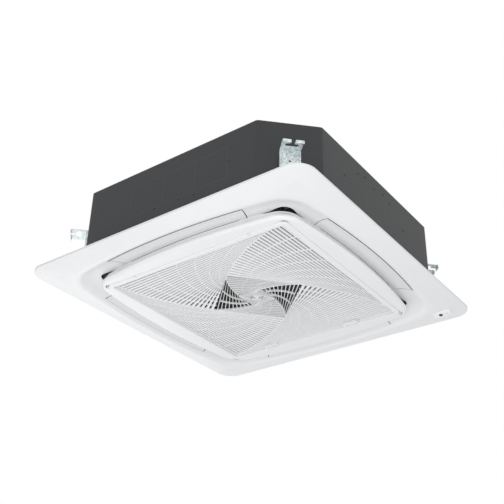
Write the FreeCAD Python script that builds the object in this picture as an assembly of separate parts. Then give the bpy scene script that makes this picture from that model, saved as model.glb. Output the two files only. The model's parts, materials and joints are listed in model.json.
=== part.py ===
import FreeCAD, Part
import math
import os

# Frame: +Z up, the finished ceiling at z = 0, the panel centred on the origin, front towards -Y.

# Cut overrun
OVER = 2.0

# Panel rim and outer band
PANEL_HALF = 475.0
PANEL_CORNER = 55.0
RIM_DEPTH = 6.6
BAND_SKIN = 3.0
LIP_INSET = 52.0
LIP_CORNER = 98.0
LIP_MID = PANEL_HALF - LIP_INSET
LIP_LAND = 1.0
LIP_Z = -20.0

# Bowed outlines: one side radius for all of them
BOW_DEPTH = 59.375
BOW_RADIUS = PANEL_HALF ** 2 / (2.0 * BOW_DEPTH)
COVE_CORNER_INSET = LIP_MID - LIP_CORNER

# Cove between the lip and the centre block
COVE_SPAN = 73.0
COVE_END_MID = LIP_MID - LIP_LAND - COVE_SPAN
COVE_END_Z = 1.2
COVE_POWER = 2.5
COVE_SHARES = (1.0, 0.87, 0.71, 0.52, 0.28, 0.0)
COVE_SKIN = 2.5

# Centre block rim
BLOCK_FACE_STEP = 6.0
BLOCK_FACE_MID = COVE_END_MID + BLOCK_FACE_STEP
BLOCK_FACE_Z = -30.0
BLOCK_ROUND_STEP = 11.5
BLOCK_ROUND_MID = COVE_END_MID + BLOCK_ROUND_STEP
BLOCK_ROUND_Z = -28.0
BLOCK_WIDE_STEP = 13.0
BLOCK_WIDE_MID = COVE_END_MID + BLOCK_WIDE_STEP
BLOCK_WIDE_Z = -24.0
BLOCK_WAIST_STEP = 3.0
BLOCK_WAIST_MID = COVE_END_MID + BLOCK_WAIST_STEP
BLOCK_WAIST_Z = -6.0
BLOCK_TOP_INSET = 3.0
BLOCK_TOP_MID = COVE_END_MID - BLOCK_TOP_INSET
BLOCK_TOP_Z = 1.0
BLOCK_TOP_CORNER = 53.0
BLOCK_CORNER_INSET = BLOCK_TOP_MID - BLOCK_TOP_CORNER
BLOCK_SKIN = 3.0
SEAT_WALL = 3.0
SEAT_TOP_Z = -12.0

# Carrier plate and skirt behind the trim
CARRIER_Z = 8.0
CARRIER_THICK = 3.0
CARRIER_LAP = 8.0
CARRIER_MID = LIP_MID + CARRIER_LAP
CARRIER_CORNER = 104.0
CARRIER_INNER_INSET = 46.0
CARRIER_INNER_HALF = COVE_END_MID - CARRIER_INNER_INSET
CARRIER_INNER_CORNER = 20.0
SKIRT_STEP = 5.5
SKIRT_MID = LIP_MID + SKIRT_STEP
SKIRT_THICK = 3.0
SKIRT_FOOT_Z = -18.2
SKIRT_CORNER_FOOT_Z = -12.0

# Louver footprint and pivot
LOUVER_OUT_INSET = 15.4
LOUVER_OUT_MID = LIP_MID - LOUVER_OUT_INSET
LOUVER_IN_GAP = 1.6
LOUVER_IN_MID = COVE_END_MID + LOUVER_IN_GAP
LOUVER_END_INSET = 183.0
LOUVER_TAPER = 22.0
LOUVER_OUT_HALF = LIP_MID - LOUVER_END_INSET
LOUVER_IN_HALF = LOUVER_OUT_HALF - LOUVER_TAPER
LOUVER_GAP = 1.2
PIVOT_STEP = 6.4
PIVOT_H = LOUVER_IN_MID + PIVOT_STEP
PIVOT_Z = 8.0
PIVOT_PIN_R = 2.0
RUN_CLEAR = 0.05
EAR_R = 5.0
EAR_THICK = 4.0
EAR_INSET = 13.0
EAR_OUT = LOUVER_IN_HALF - EAR_INSET
EAR_REACH = 20.0
EAR_ROOT_Z = -1.0
BEARING_INSET = 9.0
BEARING_IN = LOUVER_IN_HALF - BEARING_INSET
BEARING_LENGTH = 10.0
BEARING_OUT = BEARING_IN + BEARING_LENGTH
BEARING_R = 4.0
LEAF_TRIM = 2.0
SWING_ROOM = 3.4
PIN_TAIL = 7.0
PIN_END = BEARING_OUT + PIN_TAIL
DUCT_INSET = 3.6
DUCT_OUT_MID = LOUVER_OUT_MID - DUCT_INSET
DUCT_END_GAP = 0.5
DUCT_HALF = BEARING_IN - DUCT_END_GAP

# Louver motors
LMOTOR_STEP = 3.0
LMOTOR_IN = BEARING_OUT + LMOTOR_STEP
LMOTOR_LENGTH = 22.0
LMOTOR_OUT = LMOTOR_IN + LMOTOR_LENGTH
LMOTOR_INWARD = 8.0
LMOTOR_H0 = PIVOT_H - LMOTOR_INWARD
LMOTOR_OUTWARD = 20.0
LMOTOR_H1 = PIVOT_H + LMOTOR_OUTWARD
LMOTOR_Z0 = 4.4
LMOTOR_Z1 = 24.0
LMOTOR_GAP = 0.6

# Corner covers
SEAM_GAP = 0.8
BOSS_R = 6.0
BOSS_INSET = 89.0
BOSS_AT = PANEL_HALF - BOSS_INSET
BOSS_FOOT_Z = -16.8

# Intake grille
GRILLE_BORDER = 15.8
GRILLE_INSET = 35.2
GRILLE_HALF = COVE_END_MID - GRILLE_INSET
GRILLE_GAP = 0.8
GRILLE_CORNER = 22.0
SEAT_CORNER = 13.8
GRILLE_FACE_Z = -32.0
GRILLE_TOP_Z = -20.0
MESH_HALF = GRILLE_HALF - GRILLE_BORDER
MESH_LAP = 3.0
MESH_CORNER = 10.0
MESH_FACE_Z = -22.0
MESH_TOP_Z = -14.0
BAR_WIDTH = 3.0
RIB_WIDTH = 2.4
WHIRL_APEX_SHARE = 0.48
WHIRL_BEND_SHARE = 0.18
LEVEL_SCALE_SHARE = WHIRL_APEX_SHARE / math.sqrt(2.0)
LEVEL_TURN_DEG = -45.0
LEVEL_BARS = (24, 9, 5)
LEVEL_RIB_SHARES = ((0.4,), (), ())
MIN_GAP_SIDE = 3.0

# Grille hinge
HINGE_R = 3.0
HINGE_PIN_R = 1.2
HINGE_INSET = 113.8
HINGE_X = GRILLE_HALF - HINGE_INSET
HINGE_LUG = 10.0
HINGE_NOTCH_GAP = 0.7
HINGE_PIN_LENGTH = 34.0
LUG_R = 2.4

# Grille latches
LATCH_SIDE_INSET = 163.8
LATCH_X = GRILLE_HALF - LATCH_SIDE_INSET
LATCH_WIDTH = 38.0
LATCH_DEPTH = 12.0
LATCH_THICK = 3.0
LATCH_EDGE_INSET = 17.8
LATCH_Y = GRILLE_HALF - LATCH_EDGE_INSET
LATCH_TRAVEL = 6.0
LATCH_GAP = 0.5
LATCH_TAB = 6.0
STEM_WIDTH = 16.0
STEM_DEPTH = 5.0
TONGUE_Z0 = -19.2
TONGUE_Z1 = -16.8
TONGUE_REACH = 2.8
TONGUE_END = GRILLE_HALF + TONGUE_REACH

# Air filter on the grille
FILTER_INSET = 4.0
FILTER_HALF = MESH_HALF - FILTER_INSET
FILTER_BAR = 10.0
FILTER_Z0 = -14.0
FILTER_Z1 = -7.0
FILTER_SHEET_Z = -11.0
FILTER_SHEET = 1.0

# Casing
BODY_INSET = 55.0
BODY_HALF = PANEL_HALF - BODY_INSET
BODY_CHAMFER = 122.0
BEND_R = 14.0
SHEET = 1.2
BODY_Z0 = 14.0
BODY_Z1 = 230.0
FLANGE = 12.0
TAB_WIDTH = 44.0
TAB_DEPTH = 38.0
DISH_INSET = 165.0
DISH_R = BODY_HALF - DISH_INSET
DISH_SLOPE = 12.0
DISH_TOP_R = DISH_R - DISH_SLOPE
DISH_RISE = 4.0

# Panel gasket
GASKET_OUT_INSET = 12.5
GASKET_OUT_HALF = BODY_HALF - GASKET_OUT_INSET
GASKET_OUT_CHAMFER = 160.0
GASKET_IN_INSET = 85.0
GASKET_IN_HALF = BODY_HALF - GASKET_IN_INSET
GASKET_IN_CHAMFER = 40.0
GASKET_WIDTH = 5.0
GASKET_Z1 = 26.0

# Panel screws
PSCREW_INSET = 73.0
PSCREW_AT = BODY_HALF - PSCREW_INSET
PSCREW_R = 3.0
PSCREW_HEAD_R = 6.0
PSCREW_HEAD = 3.4
PSCREW_TOP_Z = 25.0

# Foam liner and drain pan
FOAM_THICK = 18.0
FOAM_HALF = BODY_HALF - FOAM_THICK
FOAM_ROOF_Z = 212.0
FOAM_ROOF_HOLE = 135.0
PAN_Z0 = 26.0
PAN_Z1 = 60.0
TROUGH_INSET = 74.0
TROUGH_OUT = BODY_HALF - TROUGH_INSET
TROUGH_WIDTH = 48.0
TROUGH_IN = TROUGH_OUT - TROUGH_WIDTH
TROUGH_Z = 44.0
OUTLET_STEP = 4.0
OUTLET_IN = TROUGH_OUT + OUTLET_STEP
OUTLET_OUT = FOAM_HALF
OUTLET_FLARE = 3.5
OUTLET_HALF = DUCT_HALF + OUTLET_FLARE

# Coil
COIL_GAP = 6.0
COIL_OUT = TROUGH_OUT - COIL_GAP
COIL_THICK = 35.0
COIL_IN = COIL_OUT - COIL_THICK
COIL_Z1 = 206.0
COIL_BEND_R = 45.0
COIL_OPEN = 128.0
COIL_END = COIL_OUT - COIL_OPEN
END_PLATE = 2.0
HEADER_R = 8.0
HEADER_Z0 = 66.0
HEADER_Z1 = 190.0
HEADER_STEP = 20.0
HEADER_PITCH = 24.0
STUB_R = 4.0
STUB_STEP = 36.0

# Pipes on the back
GAS_R = 7.94
GAS_Z = 160.0
LIQUID_R = 4.76
LIQUID_Z = 110.0
PIPE_REACH = 60.0
PIPE_END = BODY_HALF + PIPE_REACH
NUT_STEP = 26.0
NUT_START = BODY_HALF + NUT_STEP
NUT_LENGTH = 22.0
NUT_GAS_ACROSS = 13.5
NUT_LIQUID_ACROSS = 9.0
PIPE_HOLE_GAP = 1.0
PLATE_WIDTH = 86.0
PLATE_HEIGHT = 96.0
PLATE_THICK = 1.5
PIPE_WALL = 0.9

# Drain pump, float and outlet
POCKET_OUT = TROUGH_OUT
POCKET_GAP = 10.0
POCKET_IN = COIL_END + POCKET_GAP
PUMP_SIDE_STEP = 76.0
PUMP_X = -POCKET_IN - PUMP_SIDE_STEP
PUMP_BACK_STEP = 36.0
PUMP_Y = POCKET_IN + PUMP_BACK_STEP
PUMP_R = 26.0
PUMP_FOOT_R = 16.0
PUMP_FOOT_Z = 47.0
PUMP_Z0 = 68.0
PUMP_Z1 = 134.0
DRAIN_R = 14.0
SPIGOT_R = 16.0
SPIGOT_LENGTH = 50.0
DRAIN_WALL = 2.0
DRAIN_Z = 112.0
DRAIN_REACH = 54.0
DRAIN_END = -BODY_HALF - DRAIN_REACH
BRACKET_THICK = 2.0
BRACKET_HALF = 18.0
FLOAT_SIDE_STEP = 30.0
FLOAT_X = -POCKET_IN - FLOAT_SIDE_STEP
FLOAT_BACK_STEP = 18.0
FLOAT_Y = POCKET_IN + FLOAT_BACK_STEP
GUIDE_R = 3.0
GUIDE_BASE_R = 10.0
GUIDE_BASE = 5.0
GUIDE_Z1 = 94.0
GUIDE_CAP = 4.0
GUIDE_CAP_R = 6.0
FLOAT_R = 11.0
FLOAT_GAP = 0.5
FLOAT_LENGTH = 18.0

# Bell mouth
BELL_INSET = 36.0
BELL_FOOT_R = TROUGH_IN - BELL_INSET
BELL_FOOT_Z = 23.0
BELL_MID_STEP = 34.0
BELL_MID_R = BELL_FOOT_R - BELL_MID_STEP
BELL_MID_Z = 36.0
BELL_END_STEP = 50.0
BELL_END_R = BELL_FOOT_R - BELL_END_STEP
BELL_END_Z = 68.0
BELL_SKIN = 2.0
BELL_FLANGE = 8.0
BELL_PLATE_LAP = 34.0
BELL_PLATE_HALF = BELL_FOOT_R + BELL_PLATE_LAP
BELL_PAN_GAP = 5.0
PAN_HOLE_R = BELL_FOOT_R + BELL_PAN_GAP

# Fan
FAN_EYE_GAP = 7.0
FAN_EYE_R = BELL_END_R + FAN_EYE_GAP
FAN_FLARE = 16.0
FAN_R = FAN_EYE_R + FAN_FLARE
FAN_EYE_Z = 60.0
FAN_NECK_Z = 72.0
FAN_SHROUD_Z = 108.0
FAN_SKIN = 2.5
HUB_Z = 186.0
HUB_DISH_SHARE = 0.52
HUB_DISH_R = FAN_R * HUB_DISH_SHARE
HUB_DISH_SLOPE = 26.0
HUB_FLOOR_R = HUB_DISH_R - HUB_DISH_SLOPE
HUB_FLOOR_Z = 116.0
HUB_BOSS_R = 20.0
HUB_BOSS_Z0 = 104.0
HUB_BOSS_Z1 = 124.0
BLADE_COUNT = 7
BLADE_INSET = 3.0
BLADE_OUT_R = FAN_R - BLADE_INSET
BLADE_DEPTH_SHARE = 0.35
BLADE_IN_R = BLADE_OUT_R - FAN_R * BLADE_DEPTH_SHARE
BLADE_SWEEP_DEG = 42.0
BLADE_TURN_SHARES = (0.0, 0.33, 0.64, 1.0)
BLADE_THICK = 3.0
BLADE_Z0 = 92.0

# Motor
MOTOR_GAP = 18.0
MOTOR_R = HUB_FLOOR_R - MOTOR_GAP
MOTOR_Z0 = 132.0
MOTOR_Z1 = 206.0
MOTOR_BORE_Z = 190.0
SHAFT_R = 6.0
SHAFT_Z0 = 92.0
SHAFT_TOP_GAP = 1.0
MPLATE_R = 126.0
MPLATE_THICK = 2.5
BUSH_R = 9.0
BUSH_AT = 110.0
FNUT_ACROSS = 9.0
FNUT_LENGTH = 8.0

# Control box
BOX_X0 = -140.0
BOX_X1 = 140.0
BOX_GAP = 5.0
BOX_Y0 = BOX_GAP - CARRIER_INNER_HALF
BOX_DEPTH = 66.0
BOX_Y1 = BOX_Y0 + BOX_DEPTH
BOX_Z0 = -3.0
BOX_Z1 = 23.0
BOX_SKIN = 1.2
BOARD_INSET = 6.0
BOARD_THICK = 1.6
BOARD_GAP = 5.0
BOARD_POST_R = 2.5
BOARD_POST_INSET = 14.0
TERMINAL_LENGTH = 60.0
TERMINAL_DEPTH = 14.0
TERMINAL_HEIGHT = 9.0

# Hanger brackets
HANGER_Z = 137.0
HANGER_HALF = 27.5
HANGER_SHEET = 2.0
HANGER_DROP = 78.0
HANGER_REACH = 56.0
HANGER_RETURN = 9.0
HANGER_LIP = 12.0
SLOT_LENGTH = 36.0
SLOT_WIDTH = 13.0
SLOT_AT = 31.0
SLOT_MOUTH = 12.0
FOLD_R = 5.0
GUSSET = 9.0
GUSSET_WIDTH = 5.0
GUSSET_AT = 13.0
HANGER_HOLE_R = 3.0
HANGER_HOLE_DOWN = 30.0
HSCREW_R = 2.5
HSCREW_HEAD_R = 5.0
HSCREW_HEAD = 3.0
HSCREW_DOWN = 60.0

# Signal receiver on the back right corner
RECV_SIDE_INSET = 75.0
RECV_X = PANEL_HALF - RECV_SIDE_INSET
RECV_BACK_INSET = 64.0
RECV_Y = PANEL_HALF - RECV_BACK_INSET
RECV_LENGTH = 58.0
RECV_WIDTH = 34.0
RECV_FACE_Z = -17.5
RECV_BACK_Z = -2.0
LENS_R = 6.0
LENS_OFFSET = -4.0
LENS_PROUD = 0.6
LENS_BACK_Z = -10.0
LAMP_OFFSET = 17.0
LAMP_R = 4.0

SIDES = ("front", "right", "back", "left")
CORNERS = ("front_right", "back_right", "back_left", "front_left")


def vec(x, y, z=0.0):
    return FreeCAD.Vector(x, y, z)


def turned(shape, degrees):
    copy = shape.copy()
    copy.rotate(vec(0, 0), vec(0, 0, 1), degrees)
    return copy


def fused(shapes):
    whole = shapes[0]
    if len(shapes) > 1:
        whole = whole.fuse(shapes[1:])
    return whole.removeSplitter()


def block(x0, x1, y0, y1, z0, z1):
    return Part.makeBox(x1 - x0, y1 - y0, z1 - z0, vec(x0, y0, z0))


def rod(radius, z0, z1, x=0.0, y=0.0):
    return Part.makeCylinder(radius, z1 - z0, vec(x, y, z0))


def rod_x(radius, x0, x1, y, z):
    return Part.makeCylinder(radius, x1 - x0, vec(x0, y, z), vec(1, 0, 0))


def rod_y(radius, y0, y1, x, z):
    return Part.makeCylinder(radius, y1 - y0, vec(x, y0, z), vec(0, 1, 0))


def prism(points, z0, z1):
    wire = Part.makePolygon([vec(x, y, z0) for x, y in list(points) + [points[0]]])
    return Part.Face(wire).extrude(vec(0, 0, z1 - z0))


def lathe(profile):
    points = [vec(r, 0, z) for r, z in profile]
    face = Part.Face(Part.makePolygon(points + [points[0]]))
    return face.revolve(vec(0, 0), vec(0, 0, 1), 360)


def hexagon(across):
    corner = across / math.cos(math.pi / 6)
    return [(corner * math.cos(i * math.pi / 3), corner * math.sin(i * math.pi / 3)) for i in range(6)]


# Outlines

def spin_point(point, quarter):
    x, y = point
    for _ in range(quarter):
        x, y = -y, x
    return x, y


def quarter_wire(side_start, side_mid, side_end, corner_mid, z):
    edges = []
    for quarter in range(4):
        a, b, c, d = [spin_point(p, quarter) for p in (side_start, side_mid, side_end, corner_mid)]
        e = spin_point(side_start, (quarter + 1) % 4)
        if side_start[0] == side_mid[0]:
            edges.append(Part.makeLine(vec(a[0], a[1], z), vec(c[0], c[1], z)))
        else:
            edges.append(Part.Arc(vec(a[0], a[1], z), vec(b[0], b[1], z), vec(c[0], c[1], z)).toShape())
        edges.append(Part.Arc(vec(c[0], c[1], z), vec(d[0], d[1], z), vec(e[0], e[1], z)).toShape())
    return Part.Wire(edges)


def square_wire(half, corner, z):
    flat = half - corner
    bulge = flat + corner * math.sqrt(0.5)
    return quarter_wire((half, -flat), (half, 0.0), (half, flat), (bulge, bulge), z)


def bowed_wire(mid, corner, z):
    back = BOW_RADIUS - mid
    reach = BOW_RADIUS - corner
    centre = (math.sqrt(2.0 * reach ** 2 - back ** 2) - back) / 2.0
    touch_x = BOW_RADIUS * (centre + back) / reach - back
    touch_y = BOW_RADIUS * centre / reach
    bulge = centre + corner * math.sqrt(0.5)
    return quarter_wire((touch_x, -touch_y), (mid, 0.0), (touch_x, touch_y), (bulge, bulge), z)


def column(wire, height):
    return Part.Face(wire).extrude(vec(0, 0, height))


def square_column(half, corner, z0, z1):
    return column(square_wire(half, corner, z0), z1 - z0)


def bowed_column(mid, corner, z0, z1):
    return column(bowed_wire(mid, corner, z0), z1 - z0)


def cove_column(mid, z0, z1):
    return bowed_column(mid, mid - COVE_CORNER_INSET, z0, z1)


def bowed_stack(levels, inset):
    return Part.makeLoft([bowed_wire(mid, mid - inset, z) for mid, z in levels], True, True)


def octagon(half, chamfer):
    flat = half - chamfer
    points = []
    for quarter in range(4):
        points += [spin_point((half, -flat), quarter), spin_point((half, flat), quarter)]
    return points


def chamfer_face():
    return BODY_HALF * math.sqrt(2.0) - BODY_CHAMFER / math.sqrt(2.0)


def bend_edges(before, corner, after, radius, z):
    reach = radius * math.tan(math.pi / 8.0)
    ends = []
    for x, y in (before, after):
        share = reach / math.hypot(x - corner[0], y - corner[1])
        ends.append((corner[0] + (x - corner[0]) * share, corner[1] + (y - corner[1]) * share))
    (ax, ay), (bx, by) = ends
    depth = radius / math.cos(math.pi / 8.0) - radius
    mx, my = (ax + bx) / 2.0 - corner[0], (ay + by) / 2.0 - corner[1]
    length = math.hypot(mx, my)
    middle = vec(corner[0] + mx * depth / length, corner[1] + my * depth / length, z)
    return vec(ax, ay, z), middle, vec(bx, by, z)


def folded(inset, z0, z1):
    points = octagon(BODY_HALF - inset, BODY_CHAMFER - inset * (2.0 - math.sqrt(2.0)))
    radius = BEND_R - inset
    if radius <= 0:
        return prism(points, z0, z1)
    bends = [bend_edges(points[i - 1], points[i], points[(i + 1) % 8], radius, z0) for i in range(8)]
    edges = []
    for i, (start, middle, end) in enumerate(bends):
        edges.append(Part.Arc(start, middle, end).toShape())
        edges.append(Part.makeLine(end, bends[(i + 1) % 8][0]))
    return column(Part.Wire(edges), z1 - z0)


# Louver footprints and the corner wedges beside them

def slant_half(h, gap):
    slope = (LOUVER_OUT_HALF - LOUVER_IN_HALF) / (LOUVER_OUT_MID - LOUVER_IN_MID)
    return LOUVER_IN_HALF + (h - LOUVER_IN_MID) * slope + gap


def side_wedge(gap, z0, z1):
    near = CARRIER_INNER_HALF
    far = PANEL_HALF + OVER
    points = [(near, -slant_half(near, gap)), (far, -slant_half(far, gap)),
              (far, slant_half(far, gap)), (near, slant_half(near, gap))]
    return prism(points, z0, z1)


def cove_levels(spread, lift):
    drop = COVE_END_Z - LIP_Z
    return [(COVE_END_MID + COVE_SPAN * share + spread, COVE_END_Z - drop * share ** COVE_POWER + lift)
            for share in COVE_SHARES]


def cove_air():
    return bowed_stack(cove_levels(0, 0), COVE_CORNER_INSET)


def cove_skin():
    return bowed_stack(cove_levels(COVE_SKIN, COVE_SKIN), COVE_CORNER_INSET)


def band_solid(half, lift):
    straight = square_column(half, PANEL_CORNER, -RIM_DEPTH + lift, lift)
    rim = square_wire(half, PANEL_CORNER, -RIM_DEPTH + lift)
    lip = bowed_wire(LIP_MID, LIP_MID - COVE_CORNER_INSET, LIP_Z + lift)
    return straight.fuse(Part.makeLoft([rim, lip], True, True))


def trim_ring():
    low = LIP_Z - OVER
    high = COVE_END_Z + COVE_SKIN + OVER
    band = band_solid(PANEL_HALF, 0).cut(band_solid(PANEL_HALF - BAND_SKIN, BAND_SKIN))
    band = band.cut(cove_column(LIP_MID - LIP_LAND, low, high))
    foot = cove_column(LIP_MID - LIP_LAND / 2.0, LIP_Z, LIP_Z + COVE_SKIN)
    cove = cove_skin().fuse(foot).cut(cove_air()).cut(cove_column(COVE_END_MID, low, high))
    return band.fuse(cove).removeSplitter()


def louver():
    air = cove_air()
    leaf = cove_skin().cut(air).cut(cove_column(LOUVER_IN_MID, LIP_Z - OVER, CARRIER_Z))
    leaf = leaf.common(cove_column(LOUVER_OUT_MID, LIP_Z, CARRIER_Z))
    leaf = leaf.common(side_wedge(-LEAF_TRIM, LIP_Z, CARRIER_Z))
    parts = [leaf]
    for side in (-1, 1):
        y_in = side * (EAR_OUT - EAR_THICK)
        y_out = side * EAR_OUT
        y0 = min(y_in, y_out)
        ear = rod_y(EAR_R, y0, y0 + EAR_THICK, PIVOT_H, PIVOT_Z)
        web = block(PIVOT_H - EAR_R, PIVOT_H + EAR_REACH, y0, y0 + EAR_THICK, EAR_ROOT_Z, PIVOT_Z)
        pin_start = min(y_in, side * PIN_END)
        pin = rod_y(PIVOT_PIN_R, pin_start, pin_start + PIN_END - EAR_OUT + EAR_THICK, PIVOT_H, PIVOT_Z)
        parts += [ear, web.cut(air), pin]
    return fused(parts)


def louver_motor():
    body = block(LMOTOR_H0, LMOTOR_H1, LMOTOR_IN, LMOTOR_OUT, LMOTOR_Z0, LMOTOR_Z1)
    return body.cut(rod_y(PIVOT_PIN_R + RUN_CLEAR, LMOTOR_IN - OVER, PIN_END + OVER, PIVOT_H, PIVOT_Z))


def carrier():
    top = CARRIER_Z + CARRIER_THICK
    z0 = CARRIER_Z - OVER
    z1 = top + OVER
    plate = bowed_column(CARRIER_MID, CARRIER_CORNER, CARRIER_Z, top)
    cuts = [square_column(CARRIER_INNER_HALF, CARRIER_INNER_CORNER, z0, z1)]
    wall = bowed_column(BLOCK_TOP_MID, BLOCK_TOP_CORNER, z0, z1)
    crescent = cove_column(COVE_END_MID, z0, z1).cut(wall)
    swing_half = LOUVER_IN_HALF + SWING_ROOM
    for turn in range(4):
        cuts.append(crescent.common(turned(corner_box(z0, z1), 90 * turn)))
        duct = block(CARRIER_INNER_HALF, DUCT_OUT_MID + OVER, -DUCT_HALF, DUCT_HALF, z0, z1)
        duct = duct.common(cove_column(DUCT_OUT_MID, z0, z1)).cut(wall)
        swing = block(CARRIER_INNER_HALF, PIVOT_H - BEARING_R, -swing_half, swing_half, z0, z1).cut(wall)
        motor = block(LMOTOR_H0 - LMOTOR_GAP, LMOTOR_H1 + LMOTOR_GAP, LMOTOR_IN - LMOTOR_GAP,
                      LMOTOR_OUT + LMOTOR_GAP, z0, z1)
        cuts += [turned(duct, 90 * turn), turned(swing, 90 * turn), turned(motor, 90 * turn)]
    return plate.cut(cuts)


def corner_box(z0, z1):
    start = LMOTOR_OUT + OVER
    return block(start, PANEL_HALF, start, PANEL_HALF, z0, z1)


def skirt():
    corner = SKIRT_MID - COVE_CORNER_INSET
    ring = bowed_column(SKIRT_MID, corner, SKIRT_FOOT_Z, CARRIER_Z)
    inside = bowed_column(SKIRT_MID - SKIRT_THICK, corner - SKIRT_THICK, SKIRT_FOOT_Z - OVER, CARRIER_Z + OVER)
    ring = ring.cut(inside)
    keep = [turned(side_wedge(0, SKIRT_FOOT_Z - OVER, CARRIER_Z), 90 * turn) for turn in range(4)]
    high = block(-PANEL_HALF, PANEL_HALF, -PANEL_HALF, PANEL_HALF, SKIRT_CORNER_FOOT_Z, CARRIER_Z)
    return ring.common(fused(keep + [high]))


def centre_block():
    outer = [(BLOCK_FACE_MID, BLOCK_FACE_Z), (BLOCK_ROUND_MID, BLOCK_ROUND_Z), (BLOCK_WIDE_MID, BLOCK_WIDE_Z),
             (BLOCK_WAIST_MID, BLOCK_WAIST_Z), (BLOCK_TOP_MID, BLOCK_TOP_Z), (BLOCK_TOP_MID, CARRIER_Z)]
    inner = [(mid - BLOCK_SKIN, z) for mid, z in outer]
    inner[0] = (BLOCK_FACE_MID - BLOCK_SKIN, BLOCK_FACE_Z + BLOCK_SKIN)
    inner[1] = (BLOCK_ROUND_MID - BLOCK_SKIN, BLOCK_WIDE_Z - BLOCK_SKIN / 2.0)
    inner[2] = (BLOCK_WIDE_MID - BLOCK_SKIN, BLOCK_WIDE_Z)
    shell = bowed_stack(outer, BLOCK_CORNER_INSET).cut(bowed_stack(inner, BLOCK_CORNER_INSET))
    seat = GRILLE_HALF + GRILLE_GAP
    corner = SEAT_CORNER
    wall = square_column(seat + SEAT_WALL, corner + SEAT_WALL, BLOCK_FACE_Z, SEAT_TOP_Z)
    rim = shell.fuse(wall)
    opening = square_column(seat, corner, BLOCK_FACE_Z - OVER, CARRIER_Z + OVER)
    return rim.cut(opening)


def bearings():
    holders = []
    for turn in range(4):
        for side in (-1, 1):
            y0 = min(side * BEARING_IN, side * BEARING_OUT)
            y1 = y0 + BEARING_OUT - BEARING_IN
            arm = block(PIVOT_H - BEARING_R, PIVOT_H + BEARING_R, y0, y1, PIVOT_Z, CARRIER_Z + CARRIER_THICK)
            lump = rod_y(BEARING_R, y0, y1, PIVOT_H, PIVOT_Z).fuse(arm)
            start = min(side * (BEARING_IN - OVER), side * (PIN_END + OVER))
            end = start + PIN_END - BEARING_IN + 2.0 * OVER
            bore = rod_y(PIVOT_PIN_R + RUN_CLEAR, start, end, PIVOT_H, PIVOT_Z)
            holders.append((turned(lump, 90 * turn), turned(bore, 90 * turn)))
    return holders


def hinge_line():
    return -GRILLE_HALF + HINGE_R, GRILLE_FACE_Z + HINGE_R


def hinge_lug(x):
    y, z = hinge_line()
    half = HINGE_LUG / 2.0
    arm = block(x - half, x + half, y - LUG_R, y + LUG_R, z, SEAT_TOP_Z)
    return rod_x(LUG_R, x - half, x + half, y, z).fuse(arm)


def hinge_ledge(x):
    y, z = hinge_line()
    return block(x - HINGE_LUG / 2.0, x + HINGE_LUG / 2.0, -GRILLE_HALF - GRILLE_GAP - SEAT_WALL, y + LUG_R,
                 SEAT_TOP_Z - SEAT_WALL, SEAT_TOP_Z)


def latch_window(x):
    width = STEM_WIDTH + 2.0 * LATCH_GAP
    return block(x - width / 2.0, x + width / 2.0, GRILLE_HALF, GRILLE_HALF + GRILLE_GAP + SEAT_WALL + OVER,
                 TONGUE_Z0 - LATCH_GAP, TONGUE_Z1 + LATCH_GAP)


def panel_frame(ring):
    pieces = [carrier(), skirt(), centre_block()]
    gap = LOUVER_GAP
    for turn in range(4):
        band = ring.common(turned(side_wedge(-SEAM_GAP / 2.0 + gap, LIP_Z - OVER, CARRIER_Z), 90 * turn))
        hole = cove_column(LOUVER_OUT_MID + gap, LIP_Z - OVER, CARRIER_Z)
        pieces.append(band.cut(hole))
    holders = bearings()
    pieces += [lump for lump, bore in holders]
    for x in (-HINGE_X, HINGE_X):
        pieces += [hinge_lug(x), hinge_ledge(x)]
    whole = fused(pieces)
    y, z = hinge_line()
    cuts = [bore for lump, bore in holders]
    for x in (-HINGE_X, HINGE_X):
        cuts.append(rod_x(HINGE_PIN_R, x - HINGE_LUG, x + HINGE_LUG, y, z))
    cuts += [latch_window(-LATCH_X), latch_window(LATCH_X)]
    hole = rod(PSCREW_R, CARRIER_Z - OVER, CARRIER_Z + CARRIER_THICK + OVER, PSCREW_AT, PSCREW_AT)
    cuts += [turned(hole, 90 * turn) for turn in range(4)]
    return whole.cut(cuts)


def corner_cover(ring, turn):
    quadrant = block(0, PANEL_HALF + OVER, 0, PANEL_HALF + OVER, LIP_Z - OVER, CARRIER_Z)
    gap = LOUVER_GAP + SEAM_GAP / 2.0
    sides = [turned(side_wedge(gap, LIP_Z - OVER, CARRIER_Z), angle) for angle in (0, 90)]
    cover = ring.common(quadrant).cut(sides)
    boss = rod(BOSS_R, BOSS_FOOT_Z, CARRIER_Z, BOSS_AT, BOSS_AT)
    return turned(fused([cover, boss]), 90 * turn)


# Whirl of fins: squares that shrink and turn, in three levels of one law

def whirl_vertex(share):
    x = MESH_HALF * (1.0 - share)
    apex = MESH_HALF * WHIRL_APEX_SHARE
    run = 1.0 - WHIRL_APEX_SHARE + WHIRL_BEND_SHARE
    y = apex + run * x - WHIRL_BEND_SHARE * x * x / MESH_HALF
    return x, -y


def level_point(level, bar, along):
    x, y = whirl_vertex(bar / LEVEL_BARS[level])
    start = (y, -x)
    px = start[0] + along * (x - start[0])
    py = start[1] + along * (y - start[1])
    angle = math.radians(LEVEL_TURN_DEG * level)
    scale = LEVEL_SCALE_SHARE ** level
    return (scale * (px * math.cos(angle) - py * math.sin(angle)),
            scale * (px * math.sin(angle) + py * math.cos(angle)))


def kept_side(points, nx, ny, limit):
    kept = []
    for (ax, ay), (bx, by) in zip(points, points[1:] + points[:1]):
        da = nx * ax + ny * ay - limit
        db = nx * bx + ny * by - limit
        if da >= 0:
            kept.append((ax, ay))
        if da * db < 0:
            t = da / (da - db)
            kept.append((ax + t * (bx - ax), ay + t * (by - ay)))
    return kept


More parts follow.
